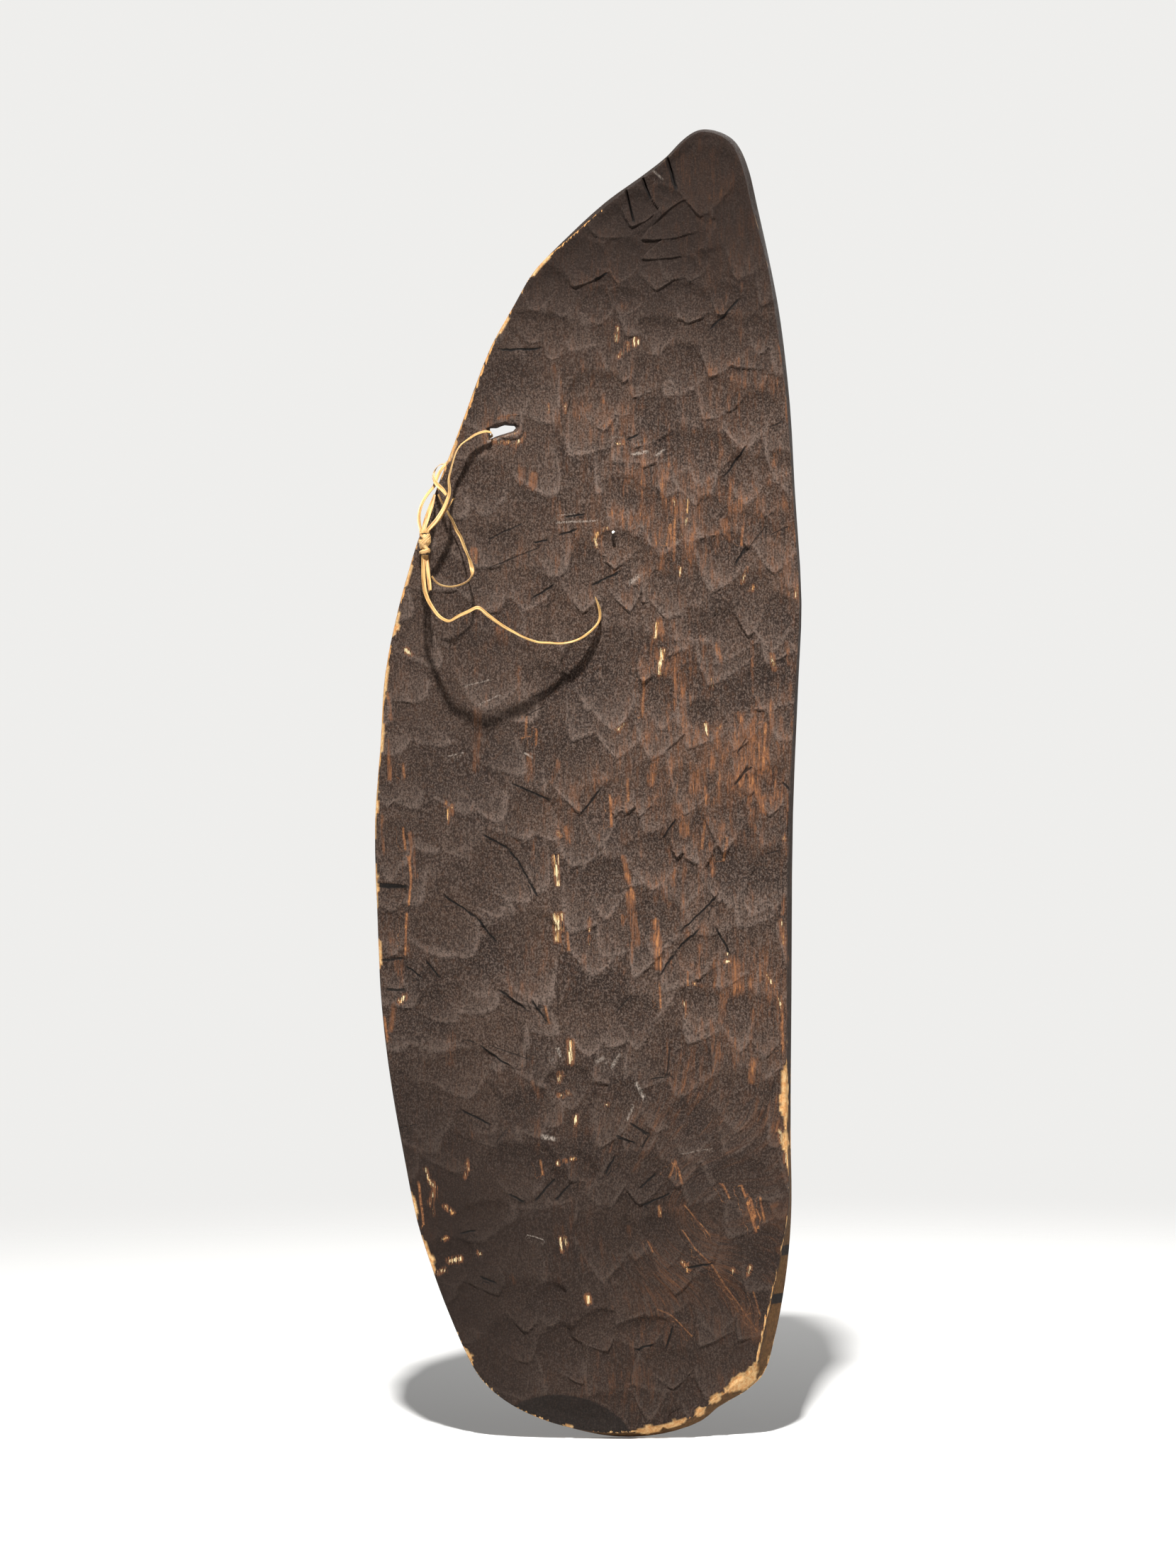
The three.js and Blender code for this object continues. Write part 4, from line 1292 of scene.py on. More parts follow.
@dataclass
class CarvedBoard:
    """The shield's board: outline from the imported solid, with the tool marks and wear modelled in."""

    frame: dict
    finish: Material
    face: AdzedFace = field(default_factory=AdzedFace)
    columns: int = 1500
    face_rings: int = 100
    most_triangles: int = 176000
    wall_rings: int = 6
    back_rings: int = 20
    edge_insets: tuple = (0.5 * MM, 1.6 * MM, 3.6 * MM, 6 * MM)
    rim_insets: tuple = (0.6 * MM, 2 * MM)
    filled: float = 0.985
    land: float = 0.45
    node: str = "shield_board"
    # Worn raw edge by the row; rows 505 to 610 also paint a highlight on the lit edge facet.
    left_wear_and_highlight: tuple = (
        (184, 0.1), (330, 0.6), (480, 0.62), (505, 0.8), (610, 0.8), (700, 0.62), (1040, 0.62), (1060, 0.66),
        (1360, 0.5), (1400, 0.3), (1860, 0.25), (1885, 0.8), (1960, 0.75), (2027, 0.5),
    )
    right_wear: tuple = (
        (184, 0.05), (250, 0.05), (480, 0.1), (505, 0.4), (1000, 0.36), (1110, 0.16), (1245, 0.16), (1262, 0.34),
        (1490, 0.36), (1500, 0.9), (1600, 0.9), (1680, 0.5), (1900, 0.7), (1960, 0.9), (2027, 0.5),
    )
    chips_px: tuple = (
        (1048, 1947, 62, 15, 3.2), (1008, 1970, 26, 9, 2.2), (986, 1991, 20, 8, 2.2), (950, 2006, 40, 6, 2.2),
        (917, 2018, 46, 7, 2.8), (803, 2007, 18, 7, 2.2), (664, 1908, 24, 7, 2.2), (1112, 1545, 92, 11, 2.2),
        (1106, 1610, 34, 10, 2.6), (560, 880, 40, 6, 1.4), (542, 960, 60, 5, 1.2), (537, 1040, 50, 6, 1.4),
        (530, 1140, 90, 3, 1), (531, 1250, 70, 3, 1), (536, 1345, 46, 5, 1.2), (603, 1770, 60, 7, 1.6),
        (586, 1700, 40, 6, 1.4), (636, 636, 40, 6, 1.4), (600, 735, 50, 6, 1.4), (574, 810, 40, 6, 1.4),
        (760, 372, 44, 6, 1.4), (706, 460, 40, 5, 1.2),
    )
    slot_px: tuple = (680, 626, 740, 580)
    splintered_above: float = 604
    mouth: tuple = (
        (688, 622), (709, 615.5), (729.5, 608.5), (733, 602), (731.5, 595.5), (711, 594), (697, 597.5), (685, 603.5),
    )
    throat: tuple = (
        (690.2, 618), (707, 612), (723, 606.5), (728, 602), (724.5, 598), (711, 597), (701, 601), (690.2, 602),
    )
    pocket: tuple = ((716, 596), (732.4, 597), (733.5, 584.5), (715, 586))
    pocket_floor: tuple = ((714, 599), (732, 599), (732, 597.5), (714, 597.5))
    nicks_px: tuple = ((881, 262, 893, 311), (905, 248, 917, 277), (940, 220, 953, 263))

    def __post_init__(self) -> None:
        """Reads the board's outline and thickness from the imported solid, and works out its rings."""
        self.chips = [EdgeChip(*row) for row in self.chips_px]
        self.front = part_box(self.node)[0][1]
        self.near, self.far, self.rim = self._outline()
        foot, tip = int(np.argmin(self.near[:, 1])), int(np.argmax(self.near[:, 1]))
        self.left, self.right = self._sides(tip, foot)
        opposite = (self.columns - np.arange(self.columns)) % self.columns
        z = (self.near[:, 1] + self.near[opposite, 1]) / 2 * 0.86
        self.spine = np.stack([self._middle(z), z], axis=1)

    def _sides(self, tip: int, foot: int) -> tuple[Array, Array]:
        """Parts the outline at its tip and its foot.

        Args:
            tip: the number of its highest point.
            foot: the number of its lowest point.

        Returns:
            The left and the right side, each from the foot up.
        """
        turned = np.roll(self.near, -tip, axis=0)
        cut = (foot - tip) % len(turned)
        sides = [side[np.argsort(side[:, 1])] for side in (turned[: cut + 1], turned[cut:])]
        return tuple(sorted(sides, key=lambda side: side[:, 0].mean()))

    def _middle(self, z: Array) -> Array:
        """Gives the x midway between the board's two sides at each height."""
        left, right = (np.interp(z, side[:, 1], side[:, 0]) for side in (self.left, self.right))
        return (left + right) / 2

    def _outline(self) -> tuple[Array, Array, float]:
        """Finds the carved face's edge and the back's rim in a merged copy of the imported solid.

        Returns:
            The edge's points, the rim's point beside each of them, and the rim's y.
        """
        copy = bmesh.new()
        copy.from_mesh(self.frame["nodes"][self.node].data)
        bmesh.ops.remove_doubles(copy, verts=copy.verts, dist=0.01 * MM)
        tolerance = 0.02 * MM
        on_face = {v for v in copy.verts if abs(v.co.y - self.front) < tolerance}
        neighbours: dict = {}
        for edge in copy.edges:
            deepest = max(vert.co.y for wall in edge.link_faces for vert in wall.verts)
            if on_face.issuperset(edge.verts) and deepest > self.front + 5 * MM:
                for vert in edge.verts:
                    neighbours.setdefault(vert, []).append(edge.other_vert(vert))
        loop = [min(neighbours, key=lambda vert: vert.co.z)]
        while True:
            ahead = [v for v in neighbours[loop[-1]] if len(loop) < 2 or v is not loop[-2]]
            if ahead[0] is loop[0]:
                break
            loop.append(ahead[0])
        rim_y = max(edge.other_vert(loop[0]).co.y for edge in loop[0].link_edges)
        rim = [v for v in copy.verts if abs(v.co.y - rim_y) < tolerance]
        tree = search_tree([(vert.co.x, 0, vert.co.z) for vert in rim])
        near = np.array([(v.co.x, v.co.z) for v in loop])
        far = np.array([tuple(tree.find((v.co.x, 0, v.co.z))[0].xz) for v in loop])
        copy.free()
        if np.sum(near[:, 0] * np.roll(near[:, 1], -1) - np.roll(near[:, 0], -1) * near[:, 1]) < 0:
            near, far = near[::-1], far[::-1]
        return *self._resample(near, far), rim_y

    def _resample(self, near: Array, far: Array) -> list[Array]:
        """Spreads the same number of points down each side, from the upper end to the foot.

        Args:
            near: the edge's points.
            far: the rim's points.

        Returns:
            Both, with a point for each column.
        """
        tip = int(np.argmax(near[:, 1]))
        near, far = np.roll(near, -tip, axis=0), np.roll(far, -tip, axis=0)
        foot = int(np.argmin(near[:, 1]))
        closed_near = np.vstack([near, near[:1]])
        results = []
        for line in (near, far):
            closed, sides = np.vstack([line, line[:1]]), []
            for part in (slice(0, foot + 1), slice(foot, len(near) + 1)):
                marks = np.concatenate([[0], np.cumsum(np.hypot(*np.diff(closed_near[part], axis=0).T))])
                wanted = np.linspace(0, marks[-1], self.columns // 2, endpoint=False)
                sides.append(np.stack([np.interp(wanted, marks, closed[part, k]) for k in range(2)], axis=1))
            spread = np.vstack(sides)
            for _ in range(4):
                spread = (np.roll(spread, 1, axis=0) + 2 * spread + np.roll(spread, -1, axis=0)) / 4
            results.append(spread)
        return results

    def _face_rings(self) -> tuple[list[Array], dict]:
        """Works out the carved face's rings, from its middle to its edge.

        Returns:
            The rings as arrays of places, and each mask as one array over all of them.
        """
        run = np.linalg.norm(self.spine - self.near, axis=1, keepdims=True)
        inward = (self.spine - self.near) / run
        edge = self.edge_insets[-1]
        shares = [1 - ring / self.face_rings for ring in range(self.face_rings)]
        insets = [edge + (run * self.filled - edge) * share for share in shares]
        insets += [np.full((self.columns, 1), inset) for inset in reversed(self.edge_insets)]
        at = Places(*np.concatenate([self.near + inward * inset for inset in insets]).T.copy())
        inset = np.concatenate(insets)[:, 0]
        depth, cut_masks = self.face.carve(at)
        depth = depth * (0.35 + 0.65 * smooth_step(inset, 0, 14 * MM))
        chip = np.zeros(at.x.shape)
        for piece in self.chips:
            share = piece.bite(at, inset)
            depth = np.maximum(depth, depth + share * (piece.depth * MM))
            chip = np.maximum(chip, share)
        rounding = np.clip(1 - inset / (1.7 * MM), 0, 1) ** 2 * 0.9 * MM
        places = np.split(np.stack([at.x, self.front + depth + rounding, at.z], axis=1), len(insets))
        masks = {
            # Painted shade in the places cut deeper than the mean.
            "hollow": smooth_step(depth - depth.mean(), 0.2 * MM, 1.8 * MM),
            "fleck": self.face.patches(self.face.flecks_px, at),
            "arris": smooth_step(-inset, -4.5 * MM, -0.4 * MM) * self._wear(at),
            "chip": smooth_step(chip, 0.12, 0.4),
            **cut_masks,
            "paint": np.zeros(at.x.shape),
        }
        return places, masks

    @staticmethod
    def _ring(flat: Array, y: object) -> Array:
        """Puts a ring's places at their y."""
        return np.stack([flat[:, 0], np.broadcast_to(y, len(flat)), flat[:, 1]], axis=1)

    def _wall(self, edge_y: Array) -> list[Array]:
        """Works out the side wall's rings, hewn unevenly between its two edges.

        Args:
            edge_y: each column's y on the carved face's edge.

        Returns:
            The rings, from the carved face to the back.
        """
        outward = self.near - self.spine
        outward /= np.linalg.norm(outward, axis=1, keepdims=True)
        start = edge_y + 1.0 * MM
        rings = []
        for share in [ring / self.wall_rings for ring in range(self.wall_rings + 1)]:
            y = start + (self.rim - 1.0 * MM - start) * share
            flat = self.near + (self.far - self.near) * share
            hewn = Places(flat[:, 1], y * 2.0).noise(46, 41) * 0.5 * MM
            rings.append(self._ring(flat + outward * (hewn * math.sin(math.pi * share))[:, None], y))
        return rings

    def _back(self) -> tuple[list[Array], list[Array]]:
        """Works out the back's rings, from its rim over a bevel to the flat land.

        Returns:
            The rings, and each one's distances from the rim.
        """
        run = np.linalg.norm(self.spine - self.far, axis=1, keepdims=True)
        inward = (self.spine - self.far) / run
        rings, reach = [], []
        for inset in self.rim_insets:
            rings.append(self._ring(self.far + inward * inset, self.rim + (inset - 1.6 * MM) * 0.3))
            reach.append(np.full(self.columns, inset))
        last = self.rim_insets[-1]
        for share in [ring / self.back_rings * self.filled for ring in range(1, self.back_rings + 1)]:
            flat = self.far + inward * (last + (run - last) * share)
            y = self.rim * np.clip(1 - share / self.land, 0, 1) - 0.15 * MM
            rings.append(self._ring(flat, y - (Places(*flat.T).noise(52, 42) + 1) * 0.45 * MM))
            reach.append(last + (run[:, 0] - last) * share)
        return rings, reach

    def _rings(self) -> tuple[list[Array], dict]:
        """Works out all rings, from the carved face's middle over the edge to the back's middle.

        Returns:
            The rings as arrays of places, and each mask as one array over all of them.
        """
        places, masks = self._face_rings()
        wall = self._wall(places[-1][:, 1])
        back, reach = self._back()
        extra = np.concatenate([*wall, *back])
        at = Places(*extra[:, ::2].T)
        low = np.repeat([*(ring / self.wall_rings for ring in range(len(wall))), *[1.0] * len(back)], self.columns)
        on_wall = np.arange(len(extra)) < len(wall) * self.columns
        reach = np.concatenate([np.zeros(len(wall) * self.columns), *reach])
        edge = Places(*self.near.T)
        lens = np.max([piece.lens(edge) * (piece.depth * MM) / (3 * MM) for piece in self.chips], axis=0)
        splintered = Places(at.x + at.z, extra[:, 1]).noise(3.4, 44) * 0.16
        bite = np.tile(lens, len(wall) + len(back)) - 0.12 - low * 1.15 + splintered
        patchy = 0.86 + 0.14 * at.noise(9, 43)
        worn = np.where(on_wall, np.clip(1 - low * 5, 0, 1) + smooth_step(low, 0.7, 1.0) * 0.9, 0.2)
        extra_masks = {
            "paint": smooth_step(low, -0.02, 0.16) * patchy * smooth_step(reach, 26 * MM, 6 * MM),
            "chip": smooth_step(bite, 0.0, 0.07),
            "arris": self._wear(at) * worn,
        }
        none = np.zeros(len(extra))
        masks = {name: np.concatenate([values, extra_masks.get(name, none)]) for name, values in masks.items()}
        return [*places, *wall, *back], masks

    def _wear(self, at: Places) -> Array:
        """Gives how far the edge is worn to raw wood, with a painted highlight on part of the left edge.

        Args:
            at: the places.

        Returns:
            A share from 0 to 1, by the height and the side of each place.
        """
        down = PHOTO.centre_down - at.z / PHOTO.pixel
        left, right = (np.interp(down, *zip(*keys)) for keys in (self.left_wear_and_highlight, self.right_wear))
        return np.clip(np.where(at.x < self._middle(at.z), left, right) + at.noise(38, 31) * 0.22, 0, 1)

    def _cutters(self) -> list[Object]:
        """Makes the solids that cut the slot, the pocket above it and the nicks in the upper edge.

        Returns:
            The solids, the slot's first.
        """
        front = self.front
        plans = [
            [
                (self.mouth, front - 6 * MM),
                (self.mouth, front + 1.2 * MM),
                (self.throat, front + 8 * MM),
                (self.throat, 5 * MM),
            ],
            [(self.pocket, front - 4 * MM), (self.pocket, front + 1.6 * MM), (self.pocket_floor, front + 4.6 * MM)],
        ]
        for ax, az, bx, bz in self.nicks_px:
            top = ((ax - 3.0, az), (bx - 0.3, bz), (bx + 0.3, bz), (ax + 3.0, az))
            deep = ((ax - 0.3, az), (bx - 0.2, bz - 10), (bx + 0.2, bz - 10), (ax + 0.3, az))
            plans.append([(top, front - 2 * MM), (top, front + 3.2 * MM), (deep, front + 9 * MM)])
        cutters = []
        for number, plan in enumerate(plans):
            places = [([PHOTO.place(*corner) for corner in corners], y) for corners, y in plan]
            mesh = ring_skin([[Vector((x, y, z)) for x, z in ring] for ring, y in places])
            if number == 0:
                bmesh.ops.subdivide_edges(mesh, edges=mesh.edges, cuts=3, use_grid_fill=True)
                for vert in mesh.verts:
                    spot = Places(np.array([vert.co.x + vert.co.y]), np.array([vert.co.z]))
                    vert.co.z += spot.noise(4, 61)[0] * 0.35 * MM
            cutters.append(new_object(f"cutter_{number}", mesh))
        return cutters

    def build(self) -> Object:
        """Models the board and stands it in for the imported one.

        Returns:
            The finished piece.
        """
        places, masks = self._rings()
        mesh = ring_skin([[Vector(point) for point in ring] for ring in places], cap_start=False, cap_end=False)
        for start in (0, (len(places) - 1) * self.columns):
            self._close_middle(mesh, start)
        bmesh.ops.recalc_face_normals(mesh, faces=mesh.faces)
        board = new_object("board", mesh)
        tree = search_tree(np.concatenate(places))
        self._thin_out(board, tree, masks)
        cutters = self._cutters()
        for cutter in cutters:
            step = board.modifiers.new(cutter.name, "BOOLEAN")
            step.operation = "DIFFERENCE"
            step.solver = "EXACT"
            step.object = cutter
        apply_modifiers(board)
        for cutter in cutters:
            bpy.data.objects.remove(cutter)
        self._write_masks(board.data, tree, masks)
        board.data.materials.clear()
        board.data.materials.append(self.finish)
        shade(board, 42)
        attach(board, Body.BOARD.value)
        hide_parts(self.node)
        return board

    def _close_middle(self, mesh: BMesh, start: int) -> None:
        """Bridges an innermost ring's two sides across the middle line.

        Args:
            mesh: the board's bmesh.
            start: the number of the ring's first vertex.
        """
        mesh.verts.ensure_lookup_table()
        ring = [mesh.verts[start + k] for k in range(self.columns)]
        half = self.columns // 2
        edges = []
        for side in (ring[1:half], ring[half + 1 :]):
            edges += [mesh.edges.get(pair) for pair in zip(side, side[1:])]
        bmesh.ops.bridge_loops(mesh, edges=edges)
        for end in (0, half):
            mesh.faces.new((ring[end - 1], ring[end], ring[end + 1]))

    def _thin_out(self, board: Object, tree: kdtree.KDTree, masks: dict) -> None:
        """Collapses the flat parts' triangles, and keeps those on chips and flecks.

        Args:
            board: the board, which this call changes.
            tree: the rings' places.
            masks: the masks at those places.
        """
        board.data.calc_loop_triangles()
        kept = np.maximum(masks["fleck"], masks["chip"]) > 0.05
        group = board.vertex_groups.new(name="free to collapse")
        group.add([v.index for v in board.data.vertices if not kept[tree.find(v.co)[1]]], 1.0, "REPLACE")
        step = board.modifiers.new("thin out", "DECIMATE")
        step.ratio = self.most_triangles / len(board.data.loop_triangles)
        step.vertex_group = group.name
        step.use_collapse_triangulate = True
        apply_modifiers(board)
        board.vertex_groups.clear()

    def _write_masks(self, cut: Mesh, tree: kdtree.KDTree, masks: dict) -> None:
        """Gives each vertex of the cut board the masks of its place.

        Args:
            cut: the board's mesh, which this call changes.
            tree: the rings' places.
            masks: the masks at those places.
        """
        close, nearest, gaps = zip(*(tree.find(vert.co) for vert in cut.vertices))
        nearest = np.array(nearest)
        x, y, z = np.array([vert.co[:] for vert in cut.vertices]).T.copy()
        at = Places(x, z)
        (left, low), (right, high) = PHOTO.place(*self.slot_px[:2]), PHOTO.place(*self.slot_px[2:])
        by_slot = (np.array(gaps) > 0.2 * MM) & (x > left) & (x < right) & (z > low) & (z < high)
        inside = by_slot & (y - np.array([place.y for place in close]) > 1.2 * MM)
        splintered = by_slot & ~inside & (z < PHOTO.place(0, self.splintered_above)[1])
        on_face = (nearest < (self.face_rings + len(self.edge_insets)) * self.columns) & ~inside
        fleck = np.where(splintered, 0.7, self.face.patches(self.face.flecks_px, at))
        direct = {"fleck": fleck, "rub": self.face.patches(self.face.rubs_px, at), **self.face.thin_lines(at)}
        sides = {name: data for name, data in direct.items() if name.endswith("_side")}
        values = {name: np.where(on_face, data, 0.0) for name, data in direct.items()} | sides
        values |= {name: data[nearest] for name, data in masks.items() if name not in direct}
        values["chip"] = np.where(inside, 0.0, values["chip"])
        # Painted shade inside the slot.
        values["hollow"] = np.where(inside, 0.8, values["hollow"])
        for name, data in values.items():
            attribute = cut.attributes.new(name, "FLOAT", "POINT")
            attribute.data.foreach_set("value", np.ascontiguousarray(data, dtype=np.float32))


@dataclass
class DrivenNail:
    """The nail: a bent shank that leans upwards out of the carved face, with a small battered end."""

    face: AdzedFace
    front: float
    entry_px: tuple = (864.4, 757.5)
    lean: float = math.radians(29.0)
    bend: float = 0.4 * MM
    shank: float = 1.45 * MM
    head: float = 1.8 * MM
    standing: float = 9.5 * MM
    buried: float = 6 * MM
    sides: int = 20
    node: str = "nail"

    def __post_init__(self) -> None:
        """Works out where the nail goes in and where it ends."""
        x, z = PHOTO.place(*self.entry_px)
        depth = self.face.carve(Places(np.array([x]), np.array([z])))[0][0]
        self.entry = Vector((x, self.front + depth, z))
        self.out = Vector((0, -math.cos(self.lean), math.sin(self.lean)))
        self.end = self.entry + self.out * self.standing

    def _ring(self, reach: float, radius: float) -> list[Vector]:
        """Gives a section of the nail, a little flattened and three-cornered.

        Args:
            reach: how far it is along the nail from where that goes in.
            radius: its radius.

        Returns:
            The section's points.
        """
        side, up = Vector((1, 0, 0)), Vector((0, math.sin(self.lean), math.cos(self.lean)))
        centre = self.entry + self.out * reach + side * self.bend * (reach / self.standing) ** 2
        ring = []
        for angle in [math.tau * k / self.sides for k in range(self.sides)]:
            high = radius * (1 + 0.08 * math.cos(3 * angle))
            ring.append(centre + side * math.cos(angle) * radius * 0.92 + up * math.sin(angle) * high)
        return ring

    def build(self, finish: Material) -> Object:
        """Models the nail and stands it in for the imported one.

        Args:
            finish: the nail's material.

        Returns:
            The finished piece.
        """
        profile = (
            (-self.buried, 0.15 * MM),
            (-self.buried * 0.6, self.shank),
            (self.standing * 0.5, self.shank * 0.96),
            (self.standing - 1.2 * MM, self.shank),
            (self.standing - 0.8 * MM, self.head),
            (self.standing - 0.2 * MM, self.head),
            (self.standing, self.head * 0.72),
        )
        nail = new_object("driven_nail", ring_skin([self._ring(reach, radius) for reach, radius in profile]))
        nail.data.materials.append(finish)
        shade(nail, 40)
        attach(nail, Body.BOARD.value)
        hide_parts(self.node)
        return nail


@dataclass(frozen=True)
class Ribbon:
    """One strip of split leaf on its route: how wide it shows, how it turns and how far it curls."""

    node: str
    route: tuple
    widths: tuple
    turns: tuple
    curl: float = 0.35
    thickness: float = 0.32 * MM
    map_width: float = 3 * MM
    far_end: str = "bare"
    frays: int = 0

    def path(self, axis: Vector) -> list[Vector]:
        """Gives the strip's centreline, a little over a millimetre between points."""
        points = [Vector((axis.x + x * MM, y * MM, axis.z + z * MM)) for x, y, z in self.route]
        return smooth_path(points, 1.3 * MM)

    def mean_width(self) -> float:
        """Gives the strip's mean width in metres."""
        return round(float(np.mean([self._keyed(self.widths, share) for share in np.linspace(0, 1, 40)])) * MM, 4)

    @staticmethod
    def _keyed(keys: tuple, share: float) -> float:
        """Reads a value at a share of the length from a few keys."""
        return float(np.interp(share, [key[0] for key in keys], [key[1] for key in keys]))

    def _sides(self, ahead: list[Vector]) -> list[tuple[Vector, Vector]]:
        """Gives, at each point, the way across the strip in the view and the way towards the viewer.

        Args:
            ahead: the way ahead at each point.

        Returns:
            The two ways for each point.
        """
        raw = [heading.cross(Vector((0, -1, 0))) for heading in ahead]
        clear = [index for index, side in enumerate(raw) if side.length > 0.4]
        frames = []
        for index, heading in enumerate(ahead):
            source = index if index in clear else min(clear, key=lambda k: abs(k - index))
            frames.append(self._square(raw[source], heading))
        for _ in range(4):
            sides = [side for side, _ in frames]
            beside = zip([sides[0], *sides[:-1]], sides, [*sides[1:], sides[-1]])
            frames = [self._square(a + b + c, heading) for (a, b, c), heading in zip(beside, ahead)]
        return frames

    @staticmethod
    def _square(side: Vector, heading: Vector) -> tuple[Vector, Vector]:
        """Sets a way square to the strip's heading, and gives it with the way square to both."""
        side = (side - heading * side.dot(heading)).normalized()
        return side, side.cross(heading).normalized()

    def mesh(self, path: list[Vector]) -> BMesh:
        """Skins the strip.

        Args:
            path: the centreline.

        Returns:
            A closed bmesh with a UV map of metres across and along.
        """
        rings = []
        for index, (point, (side, out)) in enumerate(zip(path, self._sides(headings(path)))):
            share = index / (len(path) - 1)
            half = self._keyed(self.widths, share) / 2 * MM
            angle = math.radians(self._keyed(self.turns, share))
            wide = side * math.cos(angle) + out * math.sin(angle)
            face = out * math.cos(angle) - side * math.sin(angle)
            curled = [(s, half * self.curl * (s * s - 0.4)) for s in np.linspace(-1, 1, 7)]
            upper = [point + wide * half * s + face * rise for s, rise in curled]
            rings.append(upper + [place - face * self.thickness for place in reversed(upper)])
        mesh = ring_skin(rings)
        map_strip(mesh, rings, self.map_width, path_length(path))
        return mesh


